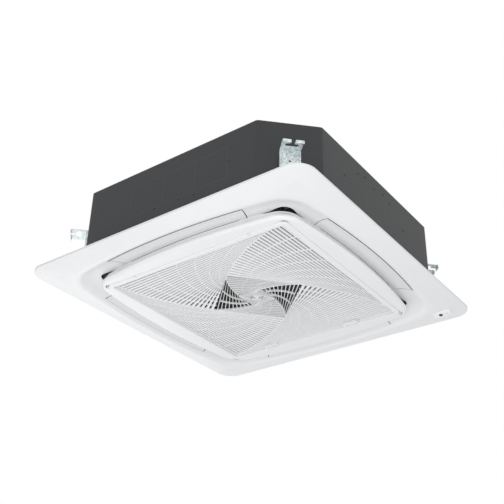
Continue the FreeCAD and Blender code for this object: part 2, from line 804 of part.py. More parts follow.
def shrunk(corners, insets):
    m = MESH_HALF
    points = [(-m, -m), (m, -m), (m, m), (-m, m)]
    for (ax, ay), (bx, by), inset in zip(corners, corners[1:] + corners[:1], insets):
        length = math.hypot(bx - ax, by - ay)
        nx, ny = -(by - ay) / length, (bx - ax) / length
        points = kept_side(points, nx, ny, nx * ax + ny * ay + inset)
    return points


def area(points):
    pairs = zip(points, points[1:] + points[:1])
    return sum(a[0] * b[1] - b[0] * a[1] for a, b in pairs) / 2.0


def whirl_gaps():
    gaps = []
    for level, bars in enumerate(LEVEL_BARS):
        stops = (0.0,) + LEVEL_RIB_SHARES[level] + (1.0,)
        for bar in range(bars):
            for i in range(len(stops) - 1):
                corners = [level_point(level, bar, stops[i]), level_point(level, bar, stops[i + 1]),
                           level_point(level, bar + 1, stops[i + 1]), level_point(level, bar + 1, stops[i])]
                half_bar = BAR_WIDTH / 2.0
                half_rib = RIB_WIDTH / 2.0
                hole = shrunk(corners, (half_bar, half_rib, half_bar, half_rib))
                if area(hole) > MIN_GAP_SIDE ** 2:
                    gaps += [[spin_point(p, quarter) for p in hole] for quarter in range(4)]
    return gaps


def mesh_plate():
    wires = [square_wire(MESH_HALF + MESH_LAP, MESH_CORNER, MESH_FACE_Z)]
    for gap in whirl_gaps():
        wires.append(Part.makePolygon([vec(x, y, MESH_FACE_Z) for x, y in gap + gap[:1]]))
    return Part.Face(wires, "Part::FaceMakerBullseye").extrude(vec(0, 0, MESH_TOP_Z - MESH_FACE_Z))


def latch_slot(x):
    width = LATCH_WIDTH + 2.0 * LATCH_GAP
    y1 = LATCH_Y + LATCH_DEPTH + LATCH_GAP
    y0 = LATCH_Y - LATCH_TRAVEL - LATCH_GAP
    shallow = block(x - width / 2.0, x + width / 2.0, y0, y1, GRILLE_FACE_Z - OVER,
                    GRILLE_FACE_Z + LATCH_THICK + LATCH_GAP)
    stem = STEM_WIDTH + 2.0 * LATCH_GAP
    stem_y1 = LATCH_Y + STEM_DEPTH + LATCH_GAP
    return shallow.fuse(block(x - stem / 2.0, x + stem / 2.0, y0, stem_y1, GRILLE_FACE_Z, MESH_TOP_Z + OVER))


def latch_tab(x):
    half = LATCH_WIDTH / 2.0 + LATCH_TAB
    y0 = LATCH_Y - LATCH_TRAVEL - LATCH_TAB
    return block(x - half, x + half, y0, MESH_HALF + MESH_LAP, GRILLE_FACE_Z, GRILLE_TOP_Z)


def intake_grille():
    border = square_column(GRILLE_HALF, GRILLE_CORNER, GRILLE_FACE_Z, GRILLE_TOP_Z)
    border = border.cut(square_column(MESH_HALF, MESH_CORNER, GRILLE_FACE_Z - OVER, GRILLE_TOP_Z + OVER))
    y, z = hinge_line()
    long = GRILLE_HALF + OVER
    toe = block(-long, long, y - HINGE_R - OVER, y, GRILLE_FACE_Z - OVER, z)
    toe = toe.cut(rod_x(HINGE_R, -long, long, y, z))
    cuts = [toe, latch_slot(-LATCH_X), latch_slot(LATCH_X)]
    for x in (-HINGE_X, HINGE_X):
        gap = HINGE_NOTCH_GAP
        width = HINGE_LUG + 2.0 * gap
        cuts.append(block(x - width / 2.0, x + width / 2.0, y - HINGE_R - OVER, y + HINGE_R + gap,
                          GRILLE_FACE_Z - OVER, GRILLE_TOP_Z + OVER))
        cuts.append(rod_x(HINGE_PIN_R + RUN_CLEAR, x - HINGE_PIN_LENGTH / 2.0 - LATCH_GAP,
                          x + HINGE_PIN_LENGTH / 2.0 + LATCH_GAP, y, z))
    return border.fuse([latch_tab(-LATCH_X), latch_tab(LATCH_X), mesh_plate()]).cut(cuts)


def grille_hinge_pins():
    y, z = hinge_line()
    half = HINGE_PIN_LENGTH / 2.0
    return Part.makeCompound([rod_x(HINGE_PIN_R, x - half, x + half, y, z) for x in (-HINGE_X, HINGE_X)])


def grille_latch(x):
    width = LATCH_WIDTH / 2.0
    stem = STEM_WIDTH / 2.0
    back = GRILLE_FACE_Z + LATCH_THICK
    pad = block(x - width, x + width, LATCH_Y, LATCH_Y + LATCH_DEPTH, GRILLE_FACE_Z, back)
    post = block(x - stem, x + stem, LATCH_Y, LATCH_Y + STEM_DEPTH, GRILLE_FACE_Z, TONGUE_Z1)
    tongue = block(x - stem, x + stem, LATCH_Y, TONGUE_END, TONGUE_Z0, TONGUE_Z1)
    return fused([pad, post, tongue])


def filter_frame():
    outer = block(-FILTER_HALF, FILTER_HALF, -FILTER_HALF, FILTER_HALF, FILTER_Z0, FILTER_Z1)
    inner = FILTER_HALF - FILTER_BAR
    hole = block(-inner, inner, -inner, inner, FILTER_Z0 - OVER, FILTER_Z1 + OVER)
    half = FILTER_BAR / 2.0
    bar = block(-half, half, -inner, inner, FILTER_Z0, FILTER_SHEET_Z)
    return fused([outer.cut(hole), bar, turned(bar, 90)])


def filter_mesh():
    inner = FILTER_HALF - FILTER_BAR
    return block(-inner, inner, -inner, inner, FILTER_SHEET_Z, FILTER_SHEET_Z + FILTER_SHEET)


# Receiver on the back right corner cover

def pill(length, width, z0, z1):
    flat = (length - width) / 2.0
    bar = block(RECV_X - flat, RECV_X + flat, RECV_Y - width / 2.0, RECV_Y + width / 2.0, z0, z1)
    ends = [rod(width / 2.0, z0, z1, RECV_X - flat, RECV_Y), rod(width / 2.0, z0, z1, RECV_X + flat, RECV_Y)]
    return fused([bar] + ends)


def lens(offset, radius):
    return rod(radius, RECV_FACE_Z - LENS_PROUD, LENS_BACK_Z, RECV_X + offset, RECV_Y)


# Body

def side_casing():
    shell = folded(0, BODY_Z0, BODY_Z1 - SHEET).cut(folded(SHEET, BODY_Z0 - OVER, BODY_Z1))
    flange = folded(0, BODY_Z0, BODY_Z0 + SHEET).cut(folded(FLANGE, BODY_Z0 - OVER, BODY_Z0 + OVER))
    flat = chamfer_face()
    half = TAB_WIDTH / 2.0
    tab = block(flat - TAB_DEPTH, flat - SHEET / 2.0, -half, half, BODY_Z0, BODY_Z0 + SHEET)
    whole = fused([shell, flange] + [turned(tab, 45 + 90 * i) for i in range(4)])
    cuts = [rod_y(GAS_R + PIPE_HOLE_GAP, FOAM_HALF, BODY_HALF + OVER, gas_x(), GAS_Z),
            rod_y(LIQUID_R + PIPE_HOLE_GAP, FOAM_HALF, BODY_HALF + OVER, liquid_x(), LIQUID_Z),
            rod_x(DRAIN_R, -BODY_HALF - OVER, -FOAM_HALF, PUMP_Y, DRAIN_Z)]
    for i in range(4):
        cuts.append(turned(rod(PSCREW_R, BODY_Z0 - OVER, BODY_Z0 + OVER, PSCREW_AT, PSCREW_AT), 90 * i))
        for y, z in hanger_screw_spots():
            hole = rod_x(HSCREW_R, flat - OVER, flat + OVER, y, z)
            cuts.append(turned(hole, 45 + 90 * i))
    return whole.cut(cuts)


def top_plate():
    plate = folded(0, BODY_Z1 - SHEET, BODY_Z1)
    dish = Part.makeCone(DISH_R, DISH_TOP_R, DISH_RISE, vec(0, 0, BODY_Z1))
    low = Part.makeCone(DISH_R - SHEET, DISH_TOP_R - SHEET, DISH_RISE, vec(0, 0, BODY_Z1 - SHEET))
    return fused([plate, dish]).cut(low)


def foam_liner():
    roof = BODY_Z1 - SHEET
    solid = folded(SHEET, PAN_Z1, roof)
    hollow = folded(FOAM_THICK, PAN_Z1 - OVER, FOAM_ROOF_Z)
    cuts = [hollow, rod(FOAM_ROOF_HOLE, FOAM_ROOF_Z - OVER, roof + OVER),
            rod_y(GAS_R + PIPE_HOLE_GAP, COIL_OUT, BODY_HALF, gas_x(), GAS_Z),
            rod_y(LIQUID_R + PIPE_HOLE_GAP, COIL_OUT, BODY_HALF, liquid_x(), LIQUID_Z),
            rod_x(DRAIN_R, -BODY_HALF, -COIL_OUT, PUMP_Y, DRAIN_Z)]
    return solid.cut(cuts)


def drain_pan():
    slab = folded(SHEET, PAN_Z0, PAN_Z1)
    bend_at = COIL_IN - COIL_BEND_R
    trough = square_column(TROUGH_OUT, TROUGH_OUT - bend_at, TROUGH_Z, PAN_Z1 + OVER)
    island = square_column(TROUGH_IN, TROUGH_IN - bend_at, TROUGH_Z, PAN_Z1 + OVER)
    pocket = block(-POCKET_OUT, -POCKET_IN, POCKET_IN, POCKET_OUT, TROUGH_Z, PAN_Z1 + OVER)
    cuts = [trough.cut(island), pocket, rod(PAN_HOLE_R, PAN_Z0 - OVER, PAN_Z1 + OVER)]
    outlet = block(OUTLET_IN, OUTLET_OUT, -OUTLET_HALF, OUTLET_HALF, PAN_Z0 - OVER, PAN_Z1 + OVER)
    return slab.cut(cuts + [turned(outlet, 90 * i) for i in range(4)])


def bell_mouth():
    t = BELL_SKIN
    inside = [vec(BELL_FOOT_R, 0, BELL_FOOT_Z), vec(BELL_MID_R, 0, BELL_MID_Z), vec(BELL_END_R, 0, BELL_END_Z)]
    outside = [vec(BELL_END_R + t, 0, BELL_END_Z), vec(BELL_MID_R + t, 0, BELL_MID_Z + t),
               vec(BELL_FOOT_R, 0, PAN_Z0)]
    rim = BELL_FOOT_R + BELL_FLANGE
    edge = Part.makePolygon([outside[2], vec(rim, 0, PAN_Z0), vec(rim, 0, BELL_FOOT_Z), inside[0]])
    horn = [Part.Arc(*inside).toShape(), Part.makeLine(inside[2], outside[0]), Part.Arc(*outside).toShape()]
    return Part.Face(Part.Wire(horn + edge.Edges)).revolve(vec(0, 0), vec(0, 0, 1), 360)


def bell_plate():
    half = BELL_PLATE_HALF
    plate = block(-half, half, -half, half, BELL_FOOT_Z, PAN_Z0)
    return plate.cut(rod(BELL_FOOT_R + BELL_FLANGE, BELL_FOOT_Z - OVER, PAN_Z0 + OVER))


def coil_fins():
    ring = square_column(COIL_OUT, COIL_BEND_R + COIL_THICK, TROUGH_Z, COIL_Z1)
    ring = ring.cut(square_column(COIL_IN, COIL_BEND_R, TROUGH_Z - OVER, COIL_Z1 + OVER))
    far = COIL_OUT + OVER
    return ring.cut(block(-far, -COIL_END, COIL_END, far, TROUGH_Z - OVER, COIL_Z1 + OVER))


def coil_end_plates():
    back = block(-COIL_END - END_PLATE, -COIL_END, COIL_IN, COIL_OUT, TROUGH_Z, COIL_Z1)
    left = block(-COIL_OUT, -COIL_IN, COIL_END, COIL_END + END_PLATE, TROUGH_Z, COIL_Z1)
    return Part.makeCompound([back, left])


def gas_x():
    return -COIL_END - END_PLATE - HEADER_STEP


def liquid_x():
    return gas_x() - HEADER_PITCH


def header_y():
    return (COIL_IN + COIL_OUT) / 2.0


def coil_tubes():
    y = header_y()
    parts = [rod(HEADER_R, HEADER_Z0, HEADER_Z1, x, y) for x in (gas_x(), liquid_x())]
    parts.append(rod_x(STUB_R, liquid_x(), gas_x(), y, HEADER_Z0 + STUB_STEP))
    z = HEADER_Z0 + STUB_STEP / 2.0
    while z < HEADER_Z1:
        parts.append(rod_x(STUB_R, gas_x(), -COIL_END - END_PLATE, y, z))
        z += STUB_STEP
    return fused(parts)


def line_pipe(x, z, radius):
    pipe = rod_y(radius, header_y() + HEADER_R, PIPE_END, x, z)
    return pipe.cut(rod_y(radius - PIPE_WALL, PIPE_END - NUT_LENGTH, PIPE_END + OVER, x, z))


def flare_nut(x, z, radius, across):
    nut = prism(hexagon(across), 0, NUT_LENGTH).cut(rod(radius, -OVER, NUT_LENGTH + OVER))
    nut.rotate(vec(0, 0), vec(1, 0, 0), -90)
    nut.translate(vec(x, NUT_START, z))
    return nut


def pipe_plate():
    x = (gas_x() + liquid_x()) / 2.0
    z = (GAS_Z + LIQUID_Z) / 2.0
    plate = block(x - PLATE_WIDTH / 2.0, x + PLATE_WIDTH / 2.0, BODY_HALF, BODY_HALF + PLATE_THICK,
                  z - PLATE_HEIGHT / 2.0, z + PLATE_HEIGHT / 2.0)
    return plate.cut([rod_y(GAS_R, BODY_HALF - OVER, PIPE_END, gas_x(), GAS_Z),
                      rod_y(LIQUID_R, BODY_HALF - OVER, PIPE_END, liquid_x(), LIQUID_Z)])


def drain_pump():
    body = rod(PUMP_R, PUMP_Z0, PUMP_Z1, PUMP_X, PUMP_Y)
    foot = rod(PUMP_FOOT_R, PUMP_FOOT_Z, PUMP_Z0, PUMP_X, PUMP_Y)
    return fused([body, foot]).cut(rod_x(DRAIN_R, DRAIN_END, PUMP_X - DRAIN_R, PUMP_Y, DRAIN_Z))


def drain_outlet():
    pipe = rod_x(DRAIN_R, DRAIN_END, PUMP_X - DRAIN_R, PUMP_Y, DRAIN_Z)
    pipe = pipe.fuse(rod_x(SPIGOT_R, DRAIN_END, DRAIN_END + SPIGOT_LENGTH, PUMP_Y, DRAIN_Z))
    bore_end = PUMP_X - DRAIN_R - DRAIN_WALL
    return pipe.cut(rod_x(DRAIN_R - DRAIN_WALL, DRAIN_END - OVER, bore_end, PUMP_Y, DRAIN_Z))


def pump_bracket():
    top = PUMP_Z1 + BRACKET_THICK
    strip = block(-BODY_HALF, PUMP_X + BRACKET_HALF, PUMP_Y - BRACKET_HALF, PUMP_Y + BRACKET_HALF, PUMP_Z1, top)
    return strip.common(folded(FOAM_THICK, PUMP_Z1, top))


def float_guide():
    base = rod(GUIDE_BASE_R, TROUGH_Z, TROUGH_Z + GUIDE_BASE, FLOAT_X, FLOAT_Y)
    stem = rod(GUIDE_R, TROUGH_Z, GUIDE_Z1, FLOAT_X, FLOAT_Y)
    cap = rod(GUIDE_CAP_R, GUIDE_Z1 - GUIDE_CAP, GUIDE_Z1, FLOAT_X, FLOAT_Y)
    return fused([base, stem, cap])


def drain_float():
    z0 = TROUGH_Z + GUIDE_BASE + FLOAT_GAP
    body = rod(FLOAT_R, z0, z0 + FLOAT_LENGTH, FLOAT_X, FLOAT_Y)
    return body.cut(rod(GUIDE_R + RUN_CLEAR, z0 - OVER, z0 + FLOAT_LENGTH + OVER, FLOAT_X, FLOAT_Y))


# Fan and motor

def blade():
    spread = BLADE_OUT_R - BLADE_IN_R
    path = []
    for i, share in enumerate(BLADE_TURN_SHARES):
        radius = BLADE_IN_R + spread * i / (len(BLADE_TURN_SHARES) - 1)
        a = math.radians(-BLADE_SWEEP_DEG * share)
        path.append((radius * math.cos(a), radius * math.sin(a)))
    near, far = [], []
    for i, (x, y) in enumerate(path):
        px, py = path[max(i - 1, 0)]
        qx, qy = path[min(i + 1, len(path) - 1)]
        length = math.hypot(qx - px, qy - py)
        nx, ny = -(qy - py) / length, (qx - px) / length
        near.append(vec(x + nx * BLADE_THICK / 2.0, y + ny * BLADE_THICK / 2.0, BLADE_Z0))
        far.append(vec(x - nx * BLADE_THICK / 2.0, y - ny * BLADE_THICK / 2.0, BLADE_Z0))
    faces = []
    for points in (near, far):
        curve = Part.BSplineCurve()
        curve.interpolate(points)
        faces.append(curve.toShape())
    ends = [Part.makeLine(near[0], far[0]), Part.makeLine(near[-1], far[-1])]
    outline = Part.Wire(Part.__sortEdges__(faces + ends))
    return column(outline, HUB_Z + FAN_SKIN / 2.0 - BLADE_Z0)


def fan_shroud():
    t = FAN_SKIN
    return lathe([(FAN_EYE_R, FAN_EYE_Z), (FAN_EYE_R + t, FAN_EYE_Z), (FAN_EYE_R + t, FAN_NECK_Z),
                  (FAN_R + t, FAN_SHROUD_Z), (FAN_R, FAN_SHROUD_Z), (FAN_EYE_R, FAN_NECK_Z)])


def turbo_fan():
    t = FAN_SKIN
    under = lathe([(FAN_EYE_R, FAN_NECK_Z), (FAN_R, FAN_SHROUD_Z), (FAN_R + OVER, FAN_SHROUD_Z),
                   (FAN_R + OVER, FAN_NECK_Z)])
    hub = lathe([(SHAFT_R, HUB_BOSS_Z0), (HUB_BOSS_R, HUB_BOSS_Z0), (HUB_BOSS_R, HUB_FLOOR_Z),
                 (HUB_FLOOR_R, HUB_FLOOR_Z), (HUB_DISH_R, HUB_Z), (FAN_R, HUB_Z), (FAN_R, HUB_Z + t),
                 (HUB_DISH_R - t, HUB_Z + t), (HUB_FLOOR_R - t, HUB_FLOOR_Z + t), (HUB_BOSS_R, HUB_FLOOR_Z + t),
                 (HUB_BOSS_R, HUB_BOSS_Z1), (SHAFT_R, HUB_BOSS_Z1)])
    vane = blade().cut(under)
    return fused([hub] + [turned(vane, 360.0 * i / BLADE_COUNT) for i in range(BLADE_COUNT)])


def fan_motor():
    can = rod(MOTOR_R, MOTOR_Z0, MOTOR_Z1)
    return can.cut(rod(SHAFT_R + RUN_CLEAR, MOTOR_Z0 - OVER, MOTOR_BORE_Z))


def motor_bushes():
    spots = [spin_point((BUSH_AT, 0), i) for i in range(4)]
    return Part.makeCompound([rod(BUSH_R, MOTOR_Z1 + MPLATE_THICK, BODY_Z1 - SHEET + DISH_RISE, x, y)
                              for x, y in spots])


# Controls

def control_box():
    outer = block(BOX_X0, BOX_X1, BOX_Y0, BOX_Y1, BOX_Z0 + BOX_SKIN, BOX_Z1)
    s = BOX_SKIN
    tray = outer.cut(block(BOX_X0 + s, BOX_X1 - s, BOX_Y0 + s, BOX_Y1 - s, BOX_Z0 - OVER, BOX_Z1 - s))
    posts = []
    for x in (BOX_X0 + BOARD_POST_INSET, BOX_X1 - BOARD_POST_INSET):
        for y in (BOX_Y0 + BOARD_POST_INSET, BOX_Y1 - BOARD_POST_INSET):
            posts.append(rod(BOARD_POST_R, BOX_Z1 - s - BOARD_GAP, BOX_Z1 - s, x, y))
    return fused([tray] + posts)


def control_box_lid():
    return block(BOX_X0, BOX_X1, BOX_Y0, BOX_Y1, BOX_Z0, BOX_Z0 + BOX_SKIN)


def board_top():
    return BOX_Z1 - BOX_SKIN - BOARD_GAP


def circuit_board():
    i = BOARD_INSET
    return block(BOX_X0 + i, BOX_X1 - i, BOX_Y0 + i, BOX_Y1 - i, board_top() - BOARD_THICK, board_top())


def terminal_block():
    z1 = board_top() - BOARD_THICK
    x0 = BOX_X0 + BOARD_POST_INSET
    y0 = BOX_Y0 + BOARD_POST_INSET
    return block(x0, x0 + TERMINAL_LENGTH, y0, y0 + TERMINAL_DEPTH, z1 - TERMINAL_HEIGHT, z1)


# Hanger brackets, built on the +X axis and turned to the chamfers

def hanger_screw_spots():
    y = HANGER_HALF / 2.0
    return [(-y, HANGER_Z - HSCREW_DOWN), (y, HANGER_Z - HSCREW_DOWN)]


def hanger():
    x0 = chamfer_face()
    s = HANGER_SHEET
    h = HANGER_HALF
    reach = x0 + HANGER_REACH
    low = HANGER_Z - HANGER_DROP
    pieces = [block(x0, x0 + s, -h, h, low, HANGER_Z), block(x0, reach, -h, h, HANGER_Z - s, HANGER_Z)]
    for side in (-1, 1):
        y0 = min(side * h, side * (h - s))
        pieces.append(block(x0, x0 + HANGER_RETURN, y0, y0 + s, low, HANGER_Z))
        m0 = min(side * h, side * SLOT_MOUTH / 2.0)
        pieces.append(block(reach - s, reach, m0, m0 + h - SLOT_MOUTH / 2.0, HANGER_Z - HANGER_LIP, HANGER_Z))
        y1 = side * GUSSET_AT - GUSSET_WIDTH / 2.0
        legs = [(x0 + s, HANGER_Z - s), (x0 + s, HANGER_Z - s - GUSSET), (x0 + s + GUSSET, HANGER_Z - s)]
        web = Part.Face(Part.makePolygon([vec(x, y1, z) for x, z in legs + legs[:1]]))
        pieces.append(web.extrude(vec(0, GUSSET_WIDTH, 0)))
    whole = fused(pieces)
    flat = (SLOT_LENGTH - SLOT_WIDTH) / 2.0
    w = SLOT_WIDTH / 2.0
    slot_x = x0 + SLOT_AT
    z0 = HANGER_Z - s - OVER
    z1 = HANGER_Z + OVER
    cuts = [block(slot_x - w, slot_x + w, -flat, flat, z0, z1), rod(w, z0, z1, slot_x, -flat),
            rod(w, z0, z1, slot_x, flat),
            block(slot_x, reach + OVER, -SLOT_MOUTH / 2.0, SLOT_MOUTH / 2.0, z0 - HANGER_LIP, z1)]
    cuts += [rod_x(HSCREW_R, x0 - OVER, x0 + s + OVER, y, z) for y, z in hanger_screw_spots()]
    cuts.append(rod_x(HANGER_HOLE_R, x0 - OVER, x0 + s + OVER, 0, HANGER_Z - HANGER_HOLE_DOWN))
    for corner, inward in ((x0, 1), (reach, -1)):
        centre = corner + inward * FOLD_R
        far = corner - inward * OVER
        fold = block(min(centre, far), max(centre, far), -h - OVER, h + OVER, HANGER_Z - FOLD_R, z1)
        cuts.append(fold.cut(rod_y(FOLD_R, -h - OVER, h + OVER, centre, HANGER_Z - FOLD_R)))
    return whole.cut(cuts)


def hanger_screws():
    x0 = chamfer_face()
    screws = []
    for i in range(4):
        for y, z in hanger_screw_spots():
            shank = rod_x(HSCREW_R, x0 - SHEET, x0 + HANGER_SHEET, y, z)
            head = rod_x(HSCREW_HEAD_R, x0 + HANGER_SHEET, x0 + HANGER_SHEET + HSCREW_HEAD, y, z)
            screws.append(turned(fused([shank, head]), 45 + 90 * i))
    return Part.makeCompound(screws)


def panel_gasket():
    z0 = CARRIER_Z + CARRIER_THICK
    rings = []
    for half, chamfer in ((GASKET_OUT_HALF, GASKET_OUT_CHAMFER), (GASKET_IN_HALF, GASKET_IN_CHAMFER)):
        ring = prism(octagon(half, chamfer), z0, GASKET_Z1)
        slim = chamfer - GASKET_WIDTH * (2.0 - math.sqrt(2.0))
        rings.append(ring.cut(prism(octagon(half - GASKET_WIDTH, slim), z0 - OVER, GASKET_Z1 + OVER)))
    return Part.makeCompound(rings)


def panel_screws():
    screws = []
    for i in range(4):
        shank = rod(PSCREW_R, CARRIER_Z, PSCREW_TOP_Z, PSCREW_AT, PSCREW_AT)
        head = rod(PSCREW_HEAD_R, CARRIER_Z - PSCREW_HEAD, CARRIER_Z, PSCREW_AT, PSCREW_AT)
        screws.append(turned(fused([shank, head]), 90 * i))
    return Part.makeCompound(screws)


def save(name, shape):
    shape.exportStep("parts/" + name + ".step")


def main():
    os.makedirs("parts", exist_ok=True)
    ring = trim_ring()
    save("panel_frame", panel_frame(ring))
    recv = pill(RECV_LENGTH, RECV_WIDTH, RECV_FACE_Z, RECV_BACK_Z)
    for turn, name in zip((-1, 0, 1, 2), CORNERS):
        cover = corner_cover(ring, turn)
        if name == "back_right":
            cover = cover.cut(recv)
        save("corner_" + name, cover)
    save("receiver_housing", recv.cut([lens(LENS_OFFSET, LENS_R), lens(LAMP_OFFSET, LAMP_R)]))
    save("infrared_lens", lens(LENS_OFFSET, LENS_R))
    save("indicator_lens", lens(LAMP_OFFSET, LAMP_R))
    leaf = louver()
    motor = louver_motor()
    for turn, name in zip((-1, 0, 1, 2), SIDES):
        save("louver_" + name, turned(leaf, 90 * turn))
        save("louver_motor_" + name, turned(motor, 90 * turn))
    save("intake_grille", intake_grille())
    save("grille_hinge_pins", grille_hinge_pins())
    save("grille_latch_left", grille_latch(-LATCH_X))
    save("grille_latch_right", grille_latch(LATCH_X))
    save("filter_frame", filter_frame())
    save("filter_mesh", filter_mesh())
    save("panel_gasket", panel_gasket())
    save("panel_screws", panel_screws())
    save("side_casing", side_casing())
    save("top_plate", top_plate())
    save("foam_liner", foam_liner())
    save("drain_pan", drain_pan())
    save("bell_mouth", bell_mouth())
    save("bell_plate", bell_plate())
    save("coil_fins", coil_fins())
    save("coil_end_plates", coil_end_plates())
    save("coil_tubes", coil_tubes())
    save("gas_pipe", line_pipe(gas_x(), GAS_Z, GAS_R))
    save("liquid_pipe", line_pipe(liquid_x(), LIQUID_Z, LIQUID_R))
    save("flare_nuts", Part.makeCompound([flare_nut(gas_x(), GAS_Z, GAS_R, NUT_GAS_ACROSS),
                                          flare_nut(liquid_x(), LIQUID_Z, LIQUID_R, NUT_LIQUID_ACROSS)]))
    save("pipe_plate", pipe_plate())
    save("drain_pump", drain_pump())
    save("drain_outlet", drain_outlet())
    save("pump_bracket", pump_bracket())
    save("float_guide", float_guide())
    save("drain_float", drain_float())
    save("turbo_fan", turbo_fan())
    save("fan_shroud", fan_shroud())
    save("fan_shaft", rod(SHAFT_R, SHAFT_Z0, MOTOR_BORE_Z - SHAFT_TOP_GAP))
    nut = prism(hexagon(FNUT_ACROSS), HUB_BOSS_Z0 - FNUT_LENGTH, HUB_BOSS_Z0)
    save("fan_nut", nut.cut(rod(SHAFT_R, SHAFT_Z0 - OVER, HUB_BOSS_Z0 + OVER)))
    save("fan_motor", fan_motor())
    save("motor_plate", rod(MPLATE_R, MOTOR_Z1, MOTOR_Z1 + MPLATE_THICK))
    save("motor_bushes", motor_bushes())
    save("control_box", control_box())
    save("control_box_lid", control_box_lid())
    save("circuit_board", circuit_board())
    save("terminal_block", terminal_block())
    for turn, name in zip((-1, 0, 1, 2), CORNERS):
        save("hanger_" + name, turned(hanger(), 45 + 90 * turn))
    save("hanger_screws", hanger_screws())


main()
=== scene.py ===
# %% [markdown]
# A four-way ceiling cassette: a grey sheet-metal body hangs above the ceiling on four slotted brackets,
# and a square white panel closes the hole from below. Four louvers lie in a cove round the panel's centre
# block, and the block holds a drop-down intake grille whose fins run in a whirl of shrinking squares.
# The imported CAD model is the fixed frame. Each piece that the eye rests on is made again here as a finer
# surface in the same place, and the rest of the CAD nodes keep their shape and get a finish.

import json
import math

import bpy
import numpy as np
from mathutils import Matrix, Vector

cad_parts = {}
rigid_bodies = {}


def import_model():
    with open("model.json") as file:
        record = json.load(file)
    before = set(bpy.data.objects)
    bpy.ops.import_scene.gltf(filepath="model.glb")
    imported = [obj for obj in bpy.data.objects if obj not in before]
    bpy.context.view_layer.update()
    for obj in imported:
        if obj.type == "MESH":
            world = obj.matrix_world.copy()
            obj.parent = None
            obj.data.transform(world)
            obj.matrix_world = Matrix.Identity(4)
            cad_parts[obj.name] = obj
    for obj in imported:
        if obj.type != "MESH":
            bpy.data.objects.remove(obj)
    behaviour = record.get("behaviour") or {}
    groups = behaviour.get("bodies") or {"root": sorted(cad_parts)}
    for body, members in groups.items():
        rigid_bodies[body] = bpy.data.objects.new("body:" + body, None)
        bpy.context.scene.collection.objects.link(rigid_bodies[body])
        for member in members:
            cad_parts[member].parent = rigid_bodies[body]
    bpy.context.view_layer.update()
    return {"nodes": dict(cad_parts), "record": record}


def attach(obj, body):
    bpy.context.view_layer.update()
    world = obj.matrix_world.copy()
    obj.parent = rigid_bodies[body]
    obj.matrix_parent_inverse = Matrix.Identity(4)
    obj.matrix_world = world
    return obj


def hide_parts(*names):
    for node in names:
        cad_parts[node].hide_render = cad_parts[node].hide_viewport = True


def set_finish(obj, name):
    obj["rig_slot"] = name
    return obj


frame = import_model()
MM = 0.001

# %% [markdown]
# Nearly every moulding on the panel follows an outline that is almost a square: its sides are long arcs that
# bow outwards and its corners are rounded. Such an outline could be drawn as a curve object, but curves
# choose their own points. Here each outline is sampled with the same number of points, so a moulding is
# just a list of outlines, one per point of its cross-section. All lengths are in millimetres.

# %% Outlines
BOW = 1900.0
SIDE_STEPS = 72
CORNER_STEPS = 26


def ray(t):
    """Points of a circle of radius 1 at the angles t."""
    return np.stack([np.cos(t), np.sin(t)], 1)


def at_height(path, z):
    """A flat path lifted to a height, or to a height for each point."""
    return np.column_stack([path, np.full(len(path), z)])


def side_x(mid, y, bowed=True):
    """x on the +X side at y: an arc of radius BOW through (mid, 0), or the straight line x = mid."""
    return np.sqrt(BOW ** 2 - y ** 2) - (BOW - mid) if bowed else mid + 0 * y


def corner_arc(mid, corner, bowed=True):
    """Points of the corner from the +X side to the +Y side: a circle that touches both side lines."""
    if bowed:
        back, reach = BOW - mid, BOW - corner
        centre = (math.sqrt(2 * reach ** 2 - back ** 2) - back) / 2
        start = math.atan2(centre, centre + back)
    else:
        centre, start = mid - corner, 0.0
    t = np.linspace(start, math.pi / 2 - start, CORNER_STEPS)
    return centre + corner * ray(t)


def quarter_turn(points, turns):
    """Points turned by so many right angles about Z."""
    c, s = ((1, 0), (0, 1), (-1, 0), (0, -1))[turns % 4]
    turned = points.copy()
    turned[..., 0] = c * points[..., 0] - s * points[..., 1]
    turned[..., 1] = s * points[..., 0] + c * points[..., 1]
    return turned


def closed_outline(mid, corner, bowed=True):
    """The whole outline: one side and one corner, four times."""
    arc = corner_arc(mid, corner, bowed)
    y = np.linspace(-arc[0, 1], arc[0, 1], SIDE_STEPS)[:-1]
    quarter = np.concatenate([np.stack([side_x(mid, y, bowed), y], 1), arc[:-1]])
    return np.concatenate([quarter_turn(quarter, k) for k in range(4)])


print("points in a closed outline:", 4 * (SIDE_STEPS + CORNER_STEPS - 2))

# %% [markdown]
# A grid of points becomes a mesh when neighbours are joined into quads. Blender's own sweep tools could do
# this for one profile, but a whole moulding is often several grids in one piece. So a small collector
# keeps grids until they are put into one mesh, which is then tied to its moving body and its finish.

# %% From grids to pieces
CREASE_DEG = 32


def grid_quads(rows, cols, wrap_rows, wrap_cols):
    """Vertex numbers of the quads of a rows by cols grid, joined up at the ends where asked."""
    r = np.arange(rows if wrap_rows else rows - 1)[:, None]
    c = np.arange(cols if wrap_cols else cols - 1)[None, :]
    r2, c2 = (r + 1) % rows, (c + 1) % cols
    quads = np.stack([r * cols + c, r * cols + c2, r2 * cols + c2, r2 * cols + c], -1)
    return quads.reshape(-1, 4).tolist()


